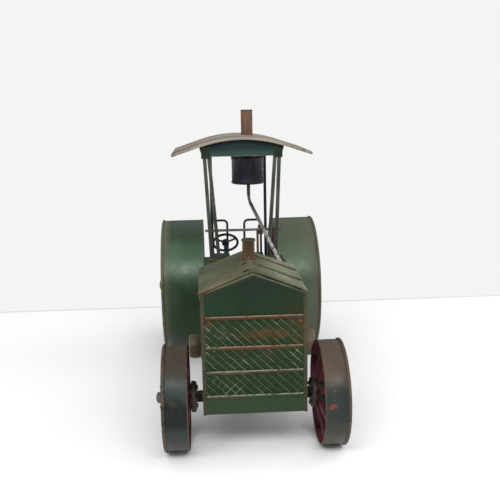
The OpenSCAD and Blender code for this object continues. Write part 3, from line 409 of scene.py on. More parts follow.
def wheel_finishes(p):
    """Treads, spokes, hubs, axles and nuts."""
    outer_grey, low_grey = (0.072, 0.065, 0.054), (0.036, 0.035, 0.028)
    highlight_pale_green, shaded_low_green = (0.050, 0.105, 0.058), (0.0015, 0.0150, 0.0010)
    # Tread at +X: greyer green, and paler overall as painted light from the window at the right.
    rear_left = worn_paint(
        "rear_tread_window_lit", p.sage_window_lit, scaled(p.sage_window_lit, 0.8), scaled(p.olive, 0.8),
        cloud=22, chip=0.8, rough=0.34, gloss=0.46, dents=0.15, sheen=GREEN_SHEEN,
        even=[
            # Rubbed paint and a painted highlight above the front of the tread.
            (scaled(p.sage_window_lit, 1.5), lambda r: r.both(rubbed_and_highlit_brow(r), 0.7)),
            (outer_grey, lambda r: r.along("X", 57, 69)),
        ],
        patches=[
            (scaled(p.olive, 0.8), lambda r: r.along("Z", 96, 118)),
            (p.brown, lambda r: r.along("X", 62, 71)),
        ],
    )
    rear_right = worn_paint(
        "rear_tread_green", scaled(p.green, 0.6), scaled(p.green, 0.85), p.olive,
        cloud=22, chip=0.8, rough=0.34, gloss=0.5, dents=0.15, sheen=GREEN_SHEEN,
        even=[
            # Painted shade: the tread's green darkens towards the bottom.
            (shaded_low_green, lambda r: r.along("Z", 84, 60)),
            # Rubbed paint and a painted highlight above the front of the tread.
            (highlight_pale_green, lambda r: r.both(rubbed_and_highlit_brow(r), 0.8)),
            (scaled(p.olive, 0.6), lambda r: r.along("X", -60, -69)),
            # Outer edge paler where the highlight lies: rubbed paint and a painted highlight.
            (scaled(p.olive, 1.1), lambda r: r.both(r.along("X", -60, -69), r.along("Z", 88, 104))),
        ],
        patches=[(p.brown, lambda r: r.along("X", -63, -71))],
    )
    front = worn_paint(
        "front_tread_dark", p.slate, scaled(p.slate, 0.65), p.brown,
        cloud=26, chip=0.64, rough=0.38, gloss=0.25, dents=0.35, sheen=SLATE_SHEEN,
        even=[
            (scaled(p.brown, 0.55), lambda r: r.along("Z", 52, 67)),
            (scaled(p.brown, 0.9), lambda r: r.both(r.along("X", 30, 36), r.along("Z", 46, 60))),
            (low_grey, lambda r: r.both(r.along("X", 30, 36), r.along("Z", 34, 22))),
            # Painted reflection: a near-black band low on the front tread at −X stands for a dark reflection.
            (scaled(p.slate, 0.12), lambda r: r.both(r.along("X", -30, -36), r.within("Z", 32, 42, 8))),
        ],
        patches=[
            (p.brown, lambda r: r.ramp(r.noise(40, 3.0), 0.5, 0.7, 0.0, 0.5)),
            (p.wear_red, lambda r: r.spot((48.6, -153, 38.5), 1.2, 3.6)),
        ],
    )
    return {
        "rear_tread_left": rear_left,
        "rear_tread_right": rear_right,
        "front_tread": front,
        "maroon": worn_paint("spoke_maroon", p.maroon, scaled(p.maroon, 0.45), p.brown, cloud=60, chip=0.68),
        "hub": bare_iron("hub_brown", scaled(p.brown, 0.5), scaled(p.brown, 0.25), p.brown, 0.5, 0.3),
        "iron": bare_iron("axle_iron", scaled(p.brown, 0.35), scaled(p.navy, 0.4), scaled(p.steel, 0.6)),
        "nut": bare_iron("nut_iron", scaled(p.steel, 0.35), scaled(p.brown, 0.5), p.steel, 0.4, 0.6),
    }


def canopy_finishes(p):
    """Roof sheet, fascia boards, posts and what joins them."""
    fascia = worn_paint(
        "fascia_green", scaled(p.teal, 0.8), scaled(p.teal, 0.6), p.tan,
        cloud=40, chip=0.8, rough=0.4, sheen=GREEN_SHEEN,
        # Painted light and shade: dark at the top under the roof, much lighter lower down.
        even=[(scaled(p.teal, 2.4), lambda r: r.along("Z", 197, 190))],
    )
    crossbar = worn_paint(
        "crossbar_grey", scaled(p.steel, 0.36), p.post_green, p.brown, cloud=70, chip=0.62, rough=0.45,
        even=[(scaled(p.brown, 0.8), lambda r: r.along("X", 6, 22))],
    )
    roof = worn_paint(
        "roof_tin", p.tin, p.taupe, p.tan, cloud=32, chip=0.72, rough=0.55, dents=0.3,
        even=[
            # Painted highlight across the roof's middle.
            (scaled(p.tin, 1.4), highlit_middle),
            (scaled(p.tin, 0.36), dark_behind_hem),
            (scaled(p.tin, 1.08), lambda r: r.along("Y", -18.6, -19.4)),
        ],
        patches=[
            (p.brown, lambda r: r.ramp(r.noise(30, 4.0, stretch=(0.4, 1.0, 1.0)), 0.5, 0.68, 0.0, 0.8)),
        ],
    )
    foot = worn_paint(
        "foot_rust", scaled(p.rust, 0.6), scaled(p.brown, 0.7), p.olive, cloud=90, chip=0.62, rough=0.6,
    )
    return {
        "fascia": fascia,
        "crossbar": crossbar,
        "roof": roof,
        "foot": foot,
        "post": worn_paint("post_green", p.post_green, scaled(p.post_green, 0.55), p.khaki, cloud=70, chip=0.62),
        "gusset": worn_paint("gusset_green", p.green, scaled(p.deep_green, 0.6), p.olive, cloud=60, chip=0.7),
    }


def fitting_finishes(p):
    """Exhaust, pulley, flywheel, lever and the black rods."""
    navy = worn_paint(
        "navy_black", p.navy, scaled(p.navy, 0.7), scaled(p.brown, 0.4),
        cloud=60, chip=0.8, rough=0.36, gloss=0.25,
    )
    pulley = worn_paint(
        "pulley_brown", scaled(p.pulley, 0.55), scaled(p.brown, 0.6), p.tan, cloud=80, chip=0.66, rough=0.4,
    )
    return {
        "navy": navy,
        "pulley": pulley,
        "flywheel": worn_paint("flywheel_olive", p.pulley, p.brown, p.tan, cloud=80, chip=0.6, rough=0.4),
        "stack": rusty_tube("stack_bronze", p.rust, p.brown, scaled(p.brown, 0.2), 222.8),
        "pipe": pipe_finish(p),
        "lever": worn_paint("lever_brown", p.brown, scaled(p.brown, 0.4), p.tan, cloud=90, chip=0.66),
    }


def make_finishes():
    """Every finish of the part, by name."""
    made = {}
    for group in (grille_finishes, hood_finishes, wheel_finishes, canopy_finishes, fitting_finishes):
        made.update(group(bpy.context.scene.tractor))
    return made


# Shaping

WELD = 2e-6  # metres
CLOSE = 1e-6  # metres
FLAT_ANGLE = 0.6  # degrees, below which two faces of a CAD node are one
SHARP_ANGLE = 30.0  # degrees, above which an edge is rolled over
SMOOTH_ANGLES = (0.2, 28.0)  # degrees between the facets of a curved face
SHEET_FIELD = 3.5
RIVET_ACROSS, RIVET_HEIGHT = 1.5, 0.4
BOLT_COUNT, BOLT_ACROSS, BOLT_HEIGHT = 6, 2.4, 0.9
TREAD_STEPS = 144
LONG_WAVES, SHORT_WAVES, TREAD_DENTS, WIRE_KINKS = 38, 110, 45, 130  # to a metre


def put(bm, name, node, *finishes, stands_for=True):
    """Makes a piece of a bmesh that rides with a node's body; it stands for the node or only adds to it."""
    mesh = bpy.data.meshes.new(name)
    bm.to_mesh(mesh)
    bm.free()
    for key in finishes:
        mesh.materials.append(FINISHES[key])
    piece = bpy.data.objects.new(name, mesh)
    bpy.context.scene.collection.objects.link(piece)
    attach(piece, frame["nodes"][node]["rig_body"])
    if stands_for:
        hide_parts(node)
    return piece


def merged_copy(node):
    """A CAD node's shape with its loose triangles joined."""
    bm = bmesh.new()
    bm.from_mesh(frame["nodes"][node].data)
    bmesh.ops.remove_doubles(bm, verts=bm.verts, dist=WELD)
    bmesh.ops.dissolve_limit(
        bm, angle_limit=math.radians(FLAT_ANGLE), verts=bm.verts, edges=bm.edges, delimit=set(),
    )
    return bm


def round_edges(bm, width):
    """Rolls the sharp edges over and marks the rolled faces as worn."""
    wear = bm.faces.layers.float.get("wear") or bm.faces.layers.float.new("wear")
    sharp = [e for e in bm.edges if e.is_manifold and e.calc_face_angle(0.0) > math.radians(SHARP_ANGLE)]
    made = bmesh.ops.bevel(
        bm, geom=sharp, offset=width * MM, offset_type="OFFSET", segments=2, profile=0.5, affect="EDGES",
        clamp_overlap=True, material=-1,
    )
    rolled = set(made["faces"])
    least, most = (math.radians(angle) for angle in SMOOTH_ANGLES)
    for face in bm.faces:
        face[wear] = 1.0 if face in rolled else 0.0
        bends = [e.calc_face_angle(0.0) for e in face.edges if e.is_manifold]
        face.smooth = face in rolled or any(least < bend < most for bend in bends)


def soften(finish, width, *nodes):
    """Copies of CAD nodes with their edges rolled over, as cut and folded sheet has them."""
    for node in nodes:
        bm = merged_copy(node)
        round_edges(bm, width)
        put(bm, node + "_metal", node, finish)


def cut_across(bm, point, axis, **keep):
    """Cuts a whole shape along one plane."""
    geom = [*bm.verts, *bm.edges, *bm.faces]
    bmesh.ops.bisect_plane(bm, geom=geom, dist=CLOSE, plane_co=point, plane_no=axis, **keep)


def lift(bm, height):
    """Cuts a sheet into small fields and lifts it unevenly, as hand-cut tin lies."""
    spacing = SHEET_FIELD * MM
    xs, ys = [v.co.x for v in bm.verts], [v.co.y for v in bm.verts]
    for axis, places in ((Vector((1, 0, 0)), xs), (Vector((0, 1, 0)), ys)):
        low, high = min(places), max(places)
        for i in range(1, int((high - low) / spacing)):
            cut_across(bm, axis * (low + i * spacing), axis)
    for v in bm.verts:
        wave = noise.noise(v.co * LONG_WAVES) + 0.5 * noise.noise(v.co * SHORT_WAVES)
        v.co.z += height * MM * max(0.0, 0.5 + 0.5 * wave)


def rivets(bm, points, normal):
    """Low domed rivet heads on a flat face."""
    across, height = RIVET_ACROSS * MM, RIVET_HEIGHT * MM
    turn = Vector(normal).to_track_quat("Z", "Y").to_matrix().to_4x4()
    for point in points:
        bmesh.ops.create_cone(
            bm, cap_ends=True, segments=10, radius1=across / 2, radius2=across / 4, depth=height,
            matrix=Matrix.Translation(Vector(point) + Vector(normal) * 0.45 * height) @ turn,
        )


def tabs(bm, points, normal, lie, size):
    """Small tongues of sheet bent flat on a face: their long side lies along one direction."""
    out, along = Vector(normal).normalized(), Vector(lie).normalized()
    turn = Matrix((along, out.cross(along), out)).transposed().to_4x4()
    size = Vector(size) * MM
    for point in points:
        place = Matrix.Translation(Vector(point) + out * 0.4 * size[2])
        bmesh.ops.create_cube(bm, size=1.0, matrix=place @ turn @ Matrix.Diagonal((*size, 1.0)))


def row(start, end, count):
    """Evenly spaced points from one place to another."""
    a, b = Vector(start), Vector(end)
    return [a.lerp(b, i / (count - 1)) for i in range(count)]


def wheel_frame(node):
    """Middle, width and radius of a wheel's tread, and which way its outer side faces."""
    low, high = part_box(node)
    middle = (low + high) / 2
    return middle, high.x - low.x, (high.z - low.z) / 2, 1.0 if middle.x > 0 else -1.0


def arc(u, r, radius, start, end, steps):
    """Points on an arc in a wheel's section, from start to end degrees."""
    for i in range(steps + 1):
        a = math.radians(start + (end - start) * i / steps)
        yield u + radius * math.cos(a), r + radius * math.sin(a)


def spun_tread(node, name, finish):
    """Tread band spun from its section: rolled inner bead, crowned face, groove and rolled outer bead."""
    middle, width, radius, side = wheel_frame(node)
    half, wall, rise = width / 2, 1.2 * MM, 0.9 * MM
    face, inner_roll, outer_roll = radius - rise, 0.9 * MM, 1.2 * MM
    inner_bead = arc(-half + inner_roll, face - wall / 2, inner_roll, 270, 60, 8)
    crown = [(-half + 2.4 * MM, face), (0.0, face + 0.06 * MM), (half - 3.6 * MM, face)]
    groove = [(half - 3.0 * MM, face - 0.3 * MM), (half - 2.5 * MM, face - 0.25 * MM)]
    outer_bead = arc(half - outer_roll, radius - outer_roll, outer_roll, 150, -90, 10)
    inside = [(half - 3.0 * MM, face - wall), (-half + 2.2 * MM, face - wall)]
    section = [*inner_bead, *crown, *groove, *outer_bead, *inside]
    bm = bmesh.new()
    verts = [bm.verts.new((middle.x + side * u, middle.y, middle.z + r)) for u, r in section]
    edges = [bm.edges.new((a, b)) for a, b in zip(verts, verts[1:] + verts[:1])]
    bmesh.ops.spin(
        bm, geom=verts + edges, cent=middle, axis=(1, 0, 0), angle=math.tau, steps=TREAD_STEPS, use_merge=True,
    )
    bmesh.ops.remove_doubles(bm, verts=bm.verts, dist=CLOSE)
    bmesh.ops.recalc_face_normals(bm, faces=bm.faces)
    wear = bm.verts.layers.float.new("wear")
    worn_above, worn_inside, dent = radius - 0.5 * MM, -half + 0.6 * MM, 0.16 * MM
    for v in bm.verts:
        out = Vector((0, v.co.y - middle.y, v.co.z - middle.z))
        u = side * (v.co.x - middle.x)
        v[wear] = 1.0 if out.length > worn_above or u < worn_inside else 0.0
        v.co += out.normalized() * dent * (noise.noise(v.co * TREAD_DENTS) - 0.35)
    for f in bm.faces:
        f.smooth = True
        out = Vector((0, *(f.calc_center_median() - middle).yz))
        f.material_index = 1 if out.length < face - 0.75 * wall else 0
    put(bm, name, node, finish, "maroon")


def bolt_circle(bm, centre, way, radius):
    """Hexagon bolt heads in a ring that faces along X."""
    across, height = BOLT_ACROSS * MM, BOLT_HEIGHT * MM
    lay_down = Matrix.Rotation(math.pi / 2, 4, "Y")
    for i in range(BOLT_COUNT):
        turn = math.tau * (i + 0.5) / BOLT_COUNT
        spot = centre + Vector((way * height / 2, radius * math.cos(turn), radius * math.sin(turn)))
        bmesh.ops.create_cone(
            bm, cap_ends=True, segments=6, radius1=across / 2, radius2=across / 2, depth=height,
            matrix=Matrix.Translation(spot) @ Matrix.Rotation(turn, 4, "X") @ lay_down,
        )


# Operators


class TRACTOR_OT_stage(bpy.types.Operator):
    """Floor, soft light and the camera"""

    bl_idname = "tractor.stage"
    bl_label = "Stage"

    def execute(self, context):
        p, scene = context.scene.tractor, context.scene
        self.lay_floor(scene, p)
        scene.world = self.room(p)
        self.hang_lamps(scene, p)
        self.stand_camera(scene, p)
        scene.view_settings.view_transform = "Standard"
        return {"FINISHED"}

    def lay_floor(self, scene, p):
        """A wide flat board under the part."""
        bm = bmesh.new()
        bmesh.ops.create_grid(bm, x_segments=2, y_segments=2, size=6000 * MM)
        mesh = bpy.data.meshes.new("floor")
        bm.to_mesh(mesh)
        bm.free()
        mesh.materials.append(self.floor_finish(p))
        floor = bpy.data.objects.new("floor", mesh)
        scene.collection.objects.link(floor)

    def floor_finish(self, p):
        """White board that runs out into the pale backdrop, with a faint grey line of painted shade where it
        meets the backdrop behind the part.
        """
        white, corner_shade_grey, black = (0.93, 0.92, 0.91), (0.3, 0.3, 0.29), (0.0, 0.0, 0.0)
        r = Recipe("pale_floor")
        behind = r.along("Y", 238.5, 240.5)
        # Painted shade: a faint grey line where the floor meets the backdrop.
        seam_shade = r.both(r.along("Y", 232, 238.5), r.along("Y", 243.5, 240.5))
        far = r.math("SUBTRACT", 1.0, r.spot((0, 0, 0), 700, 1300))
        away = r.math("MAXIMUM", behind, far)
        board = r.mix(r.both(seam_shade, 0.4), white, corner_shade_grey)
        r.feed(r.shader.inputs["Emission Color"], p.backdrop)
        r.feed(r.shader.inputs["Emission Strength"], away)
        return r.finish(r.mix(away, board, black), 0.8, 0.0, 0.0)

    def room(self, p):
        """Even pale backdrop; the light it gives comes mostly from above."""
        world = bpy.data.worlds.new("soft_room")
        world.use_nodes = True
        nodes, links = world.node_tree.nodes, world.node_tree.links
        coords = nodes.new("ShaderNodeTexCoord")
        split = nodes.new("ShaderNodeSeparateXYZ")
        links.new(coords.outputs["Generated"], split.inputs["Vector"])
        both = nodes.new("ShaderNodeMath")
        both.operation = "MULTIPLY"
        from_above, from_front = ("Z", 0.0, 0.7, 0.18, p.room_light), ("Y", -0.6, 0.6, 1.0, 0.5)
        for socket, (axis, low, high, start, end) in zip(both.inputs, (from_above, from_front)):
            level = nodes.new("ShaderNodeMapRange")
            level.inputs["From Min"].default_value = low
            level.inputs["From Max"].default_value = high
            level.inputs["To Min"].default_value = start
            level.inputs["To Max"].default_value = end
            links.new(split.outputs[axis], level.inputs["Value"])
            links.new(level.outputs["Result"], socket)
        glow = nodes["Background"]
        glow.inputs["Color"].default_value = (0.95, 0.97, 1.0, 1.0)
        links.new(both.outputs["Value"], glow.inputs["Strength"])
        plain = nodes.new("ShaderNodeBackground")
        plain.inputs["Color"].default_value = (*p.backdrop, 1.0)
        rays = nodes.new("ShaderNodeLightPath")
        join = nodes.new("ShaderNodeMixShader")
        links.new(rays.outputs["Is Camera Ray"], join.inputs["Fac"])
        links.new(glow.outputs["Background"], join.inputs[1])
        links.new(plain.outputs["Background"], join.inputs[2])
        links.new(join.outputs["Shader"], nodes["World Output"].inputs["Surface"])
        return world

    def hang_lamps(self, scene, p):
        """A window to the right and a long strip in front, both in metres."""
        aim = Vector((0.0, 0.0, 0.08))
        for name, place, size, power in (
            ("window_right", (1.1, 0.15, 0.75), (0.8, 0.8), p.window_light),
            ("strip_in_front", (-0.1, -0.91, 0.86), (1.5, 0.34), p.front_light),
        ):
            lamp = bpy.data.lights.new(name, "AREA")
            lamp.shape = "RECTANGLE"
            lamp.size, lamp.size_y = size
            lamp.energy = power
            light = bpy.data.objects.new(name, lamp)
            light.location = place
            light.rotation_euler = (aim - Vector(place)).to_track_quat("-Z", "Y").to_euler()
            scene.collection.objects.link(light)

    def stand_camera(self, scene, p):
        """The camera, turned by its yaw and pitch and then rolled."""
        camera = bpy.data.cameras.new("camera")
        camera.lens = p.lens
        camera.clip_start = 10 * MM
        view = bpy.data.objects.new("camera", camera)
        scene.collection.objects.link(view)
        yaw, pitch, roll = p.view_turn
        level = math.cos(pitch)
        ahead = Vector((math.sin(yaw) * level, math.cos(yaw) * level, math.sin(pitch)))
        right = Vector((math.cos(yaw), -math.sin(yaw), 0.0))
        up = right.cross(ahead)
        across = math.cos(roll) * right - math.sin(roll) * up
        upward = math.sin(roll) * right + math.cos(roll) * up
        turned = Matrix((across, upward, -ahead)).transposed().to_4x4()
        view.matrix_world = Matrix.Translation(Vector(p.view_from)) @ turned
        scene.camera = view


class TRACTOR_OT_wheels(bpy.types.Operator):
    """Spun treads, flat spokes and bolted hubs"""

    bl_idname = "tractor.wheels"
    bl_label = "Wheels"

    def execute(self, context):
        for end in ("front", "rear"):
            for side in ("left", "right"):
                finish = "front_tread" if end == "front" else "rear_tread_" + side
                spun_tread(f"{end}_rim_{side}", f"{end}_tread_{side}", finish)
                soften("maroon", 0.2, f"{end}_spokes_{side}")
                soften("hub", 0.3, f"{end}_hub_{side}")
                self.bolt_hub(f"{end}_hub_{side}", f"{end}_hub_bolts_{side}")
        return {"FINISHED"}

    def bolt_hub(self, hub, name):
        """A ring of bolts on each face of a hub."""
        low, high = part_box(hub)
        middle = (low + high) / 2
        reach = (high.z - low.z) / 2
        bm = bmesh.new()
        for x, way, share in ((low.x, -1.0, 0.72), (high.x, 1.0, 0.66)):
            bolt_circle(bm, Vector((x, middle.y, middle.z)), way, share * reach)
        put(bm, name, hub, "iron", stands_for=False)


class TRACTOR_OT_frame(bpy.types.Operator):
    """Rails, axles, nuts and drawbar"""

    bl_idname = "tractor.frame"
    bl_label = "Frame and axles"

    def execute(self, context):
        soften("navy", 0.25, "frame_rail_left", "frame_rail_right", "front_bolster", "drawbar", "rear_bearings")
        soften("iron", 0.3, "front_axle", "rear_axle", "kingpin")
        soften("nut", 0.3, "axle_nuts_front", "axle_nuts_rear")
        return {"FINISHED"}


class TRACTOR_OT_grille(bpy.types.Operator):
    """Radiator panel, woven wire strips and half-round bars"""

    bl_idname = "tractor.grille"
    bl_label = "Grille"

    bar_heights = (42.5, 59.0, 75.5, 95.5)
    bar_half = 0.9
    front_wires, back_wires = 0.1, 0.25  # how far they lie in from the mesh's front and back
    shortest_wire, wire_kink, wire_cuts = 0.8, 0.45, 6

    def execute(self, context):
        p = context.scene.tractor
        soften("radiator", 0.3, "radiator_panel")
        soften("bars", 0.2, "grille_bars")
        low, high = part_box("grille_mesh")
        front, back = low.y + self.front_wires * MM, high.y - self.back_wires * MM
        rise = p.diamond_h / p.diamond_w
        bm = bmesh.new()
        for below, above in zip(self.bar_heights, self.bar_heights[1:]):
            strip = (low.x, high.x, (below + self.bar_half) * MM, (above - self.bar_half) * MM)
            self.lay_wires(bm, p, strip, -rise, front, 0)
            self.lay_wires(bm, p, strip, rise, back, 1)
        for f in bm.faces:
            f.smooth = True
        put(bm, "grille_wires", "grille_mesh", "wire", "wire_back")
        return {"FINISHED"}

    def lay_wires(self, bm, p, strip, rise, y, finish):
        """Parallel wires across one strip, each a little out of true."""
        left, right, bottom, top = strip
        run = (top - bottom) / abs(rise)
        for i in range(int((right - left + run) / p.diamond_w) + 1):
            start = left - run + (i + 0.5) * p.diamond_w
            ends = []
            for x in (max(start, left), min(start + run, right)):
                climb = (x - start) / run * (top - bottom)
                ends.append(Vector((x, y, bottom + climb if rise > 0 else top - climb)))
            if ends[1].x - ends[0].x < self.shortest_wire * MM:
                continue
            lie = ends[1] - ends[0]
            turn = lie.to_track_quat("Z", "Y").to_matrix().to_4x4()
            made = bmesh.ops.create_cone(
                bm, cap_ends=True, segments=6, radius1=p.wire_d / 2, radius2=p.wire_d / 2, depth=lie.length,
                matrix=Matrix.Translation((ends[0] + ends[1]) / 2) @ turn,
            )
            for f in {f for v in made["verts"] for f in v.link_faces}:
                f.material_index = finish
            self.kink_wire(bm, made["verts"], lie.length)

    def kink_wire(self, bm, verts, wire_length):
        """Cuts one straight wire along its length and bends it slightly."""
        near_edges = dict.fromkeys(e for v in verts for e in v.link_edges)
        long_edges = [e for e in near_edges if e.calc_length() > 0.9 * wire_length]
        cut = bmesh.ops.subdivide_edges(bm, edges=long_edges, cuts=self.wire_cuts)
        for v in {g for g in cut["geom_inner"] if isinstance(g, bmesh.types.BMVert)}:
            at = v.co * WIRE_KINKS
            way = Vector((noise.noise(at), 0.3 * noise.noise(at * 1.7), noise.noise(at * 1.3)))
            v.co += way * self.wire_kink * MM


class TRACTOR_OT_hood(bpy.types.Operator):
    """Hood sheets, lapped roof plates, filler neck and its folded tabs"""

    bl_idname = "tractor.hood"
    bl_label = "Hood"

    plate_step = 26
    slope = 0.3676  # fall of the roof for each step out from the ridge
    ridge_tabs = ((-4.0, -97.0), (4.2, -97.0), (-3.8, -119.0))  # X and Y
    above_ridge = 2.0
    right_share = 0.35  # how far a plate springs on the right slope, next to the left
    ridge_run = 6

    def execute(self, context):
        soften("body", 0.3, "hood_side_left", "hood_side_right", "hood_rear_panel")
        soften("hood", 0.3, "hood_roof")
        lap, step = context.scene.tractor.plate_lap, self.plate_step * MM
        first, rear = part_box("hood_front_band")[0].y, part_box("hood_rear_band")
        self.lay_plate("hood_front_band", "hood_front_plate", 0.0, first + step + lap, 1.0)
        self.lay_plate("hood_front_band", "hood_middle_plate", step, rear[0].y + lap, 1.8, stands_for=False)
        self.lay_plate("hood_rear_band", "hood_rear_plate", 0.0, rear[1].y, 1.9)
        soften("neck", 0.25, "filler_neck")
        self.fold_tabs()
        self.bend_side_tabs("hood_side_left", 1.0)
        self.bend_side_tabs("hood_side_right", -1.0)
        return {"FINISHED"}

    def lay_plate(self, node, name, shift, end, spring, stands_for=True):
        """A roof plate whose front edge springs off the plate before it, most of all on the left slope."""
        bm = merged_copy(node)
        bmesh.ops.translate(bm, verts=bm.verts, vec=(0.0, shift, 0.0))
        cut_across(bm, (0.0, end, 0.0), (0.0, 1.0, 0.0), clear_outer=True)
        bmesh.ops.holes_fill(bm, edges=[e for e in bm.edges if e.is_boundary], sides=0)
        bm.normal_update()
        # Downward faces get the seam finish, painted shade under each lifted front edge.
        for f in bm.faces:
            f.material_index = 1 if f.normal.z < -0.5 else 0
        round_edges(bm, 0.15)
        lift(bm, 0.35)
        front = min(v.co.y for v in bm.verts)
        for v in bm.verts:
            leftward = min(1.0, max(0.0, v.co.x / (self.ridge_run * MM)))
            slope_share = self.right_share + (1.0 - self.right_share) * leftward
            v.co.z += spring * MM * slope_share * (1.0 - (v.co.y - front) / (end - front)) ** 2
        for f in bm.faces:
            f.smooth = abs(f.normal.z) > 0.5
        put(bm, name, node, "hood", "seam_shade", stands_for=stands_for)

    def fold_tabs(self):
        """Tabs folded flat on the ridge, each with a dark strip of painted shade for its slot."""
        ridge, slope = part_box("hood_roof")[1].z, self.slope
        for name, finish, size, ahead in (
            ("ridge_tabs", "hood", (3.4, 3.2, 0.7), 0.0),
            ("ridge_slots", "seam_shade", (3.8, 1.3, 0.5), -2.0),
        ):
            bm = bmesh.new()
            for x, y in self.ridge_tabs:
                side = 1.0 if x > 0 else -1.0
                z = ridge - slope * abs(x) * MM + self.above_ridge * MM
                point = (x * MM, (y + ahead) * MM, z)
                tabs(bm, [point], (side * slope, 0.0, 1.0), (1.0, 0.0, -side * slope), size)
            round_edges(bm, 0.15)
            put(bm, name, "hood_front_band", finish, stands_for=False)

    def bend_side_tabs(self, node, side):
        """Tabs that hold a side sheet to the radiator and the rear panel, bent over beside their slots, which
        are dark strips of painted shade.
        """
        low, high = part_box(node)
        face, inset = high.x if side > 0 else low.x, 3.4 * MM
        bottom, top = low.z + 12 * MM, high.z - 10 * MM
        for name, finish, size, shift in (
            ("tabs", "body", (5.0, 2.2, 0.6), 0.0),
            ("slots", "seam_shade", (5.0, 0.7, 0.25), 1.5),
        ):
            bm = bmesh.new()
            for edge, way in ((low.y + inset, -1.0), (high.y - inset, 1.0)):
                y = edge + way * shift * MM
                tabs(bm, row((face, y, bottom), (face, y, top), 3), (side, 0.0, 0.0), (0.0, 0.0, 1.0), size)
            round_edges(bm, 0.12)
            put(bm, f"{node}_{name}", node, finish, stands_for=False)


class TRACTOR_OT_engine(bpy.types.Operator):
    """Casing, lid, crankshaft, flywheel and belt pulley"""

    bl_idname = "tractor.engine"
    bl_label = "Engine"

    def execute(self, context):
        soften("body", 0.3, "engine_casing", "casing_lid")
        soften("iron", 0.4, "crankshaft")
        soften("flywheel", 0.4, "flywheel")
        soften("pulley", 0.4, "belt_pulley")
        return {"FINISHED"}


class TRACTOR_OT_exhaust(bpy.types.Operator):
    """Bent pipe, muffler and stack"""

    bl_idname = "tractor.exhaust"
    bl_label = "Exhaust"

    def execute(self, context):
        soften("pipe", 0.2, "exhaust_pipe")
        soften("navy", 0.3, "muffler")
        soften("stack", 0.25, "exhaust_stack")
        return {"FINISHED"}


class TRACTOR_OT_canopy(bpy.types.Operator):
    """Roof sheet, fascia boards, posts and braces"""

    bl_idname = "tractor.canopy"
    bl_label = "Canopy"

    plate_x, plate_z = 28, 192.6
    plate_size = (6.8, 0.45, 9.0)
    rivet_heights = (190.4, 195.0)

    def execute(self, context):
        soften("roof", 0.3, "roof_sheet")
        soften("fascia", 0.3, "front_fascia", "rear_fascia")
        soften("post", 0.3, "post_left", "post_right", "brace_left", "brace_right")
        soften("crossbar", 0.3, "crossbar")
        soften("navy", 0.2, "rear_posts")
        soften("foot", 0.3, "post_feet")
        self.join_posts()
        return {"FINISHED"}

    def join_posts(self):
        """Plates that tie each post and its brace to the fascia's end, with two rivets each."""
        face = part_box("post_left")[0].y
        size = Vector(self.plate_size) * MM
        sides = (-self.plate_x * MM, self.plate_x * MM)
        bm = bmesh.new()
        for x in sides:
            place = Matrix.Translation((x, face - size.y / 2, self.plate_z * MM))
            bmesh.ops.create_cube(bm, size=1.0, matrix=place @ Matrix.Diagonal((*size, 1.0)))
        round_edges(bm, 0.18)
        points = [(x, face - size.y, z * MM) for x in sides for z in self.rivet_heights]
        rivets(bm, points, (0.0, -1.0, 0.0))
        put(bm, "post_joining_plates", "front_fascia", "gusset", stands_for=False)


class TRACTOR_OT_driver(bpy.types.Operator):
    """Platform, seats, back hoops, steering wheel and lever"""

    bl_idname = "tractor.driver"
    bl_label = "Driver's place"

    seat_corner = 3
    seat_hollow = ((0.8, 0.0), (0.9, 0.35), (1.0, 0.35))  # steps in from the rim and down
    least_top = 100  # square millimetres

    def execute(self, context):
        soften("body", 0.3, "platform")
        soften("navy", 0.2, "platform_bearers", "seat_pedestals", "seat_hoop_left", "seat_hoop_right")
        self.dish_seats()
        soften("navy", 0.2, "steering_wheel", "steering_column")
        soften("lever", 0.25, "hand_lever")
        soften("iron", 0.2, "lever_bracket")
        return {"FINISHED"}

    def dish_seats(self):
        """Seat pans with rounded corners and a pressed hollow."""
        bm = merged_copy("seats")
        corners = [e for e in bm.edges if abs((e.verts[0].co - e.verts[1].co).normalized().z) > 0.9]
        bmesh.ops.bevel(
            bm, geom=corners, offset=self.seat_corner * MM, offset_type="OFFSET", segments=5, profile=0.5,
            affect="EDGES", material=-1,
        )
        tops = [f for f in bm.faces if f.normal.z > 0.9 and f.calc_area() > self.least_top * MM * MM]
        for inset, sink in self.seat_hollow:
            bmesh.ops.inset_individual(bm, faces=tops, thickness=inset * MM, depth=-sink * MM)
        round_edges(bm, 0.25)
        put(bm, "seat_pans", "seats", "navy")


class TRACTOR_PT_panel(bpy.types.Panel):
    """The pieces that can be built"""

    bl_idname = "TRACTOR_PT_panel"
    bl_label = "Tin tractor"
    bl_space_type = "VIEW_3D"
    bl_region_type = "UI"
    bl_category = "Tractor"

    def draw(self, context):
        for operator in OPERATORS:
            self.layout.operator(operator.bl_idname)
        for name in context.scene.tractor.bl_rna.properties.keys():
            if name not in ("rna_type", "name"):
                self.layout.prop(context.scene.tractor, name)


# Settings


def paint(label, what, colour):
    return bpy.props.FloatVectorProperty(
        name=label, description=what, subtype="COLOR", size=3, min=0.0, max=1.0, default=colour,
    )


def length(label, what, metres):
    return bpy.props.FloatProperty(
        name=label, description=what, subtype="DISTANCE", unit="LENGTH", default=metres,
    )


def amount(label, what, value, unit="NONE"):
    return bpy.props.FloatProperty(name=label, description=what, unit=unit, default=value)


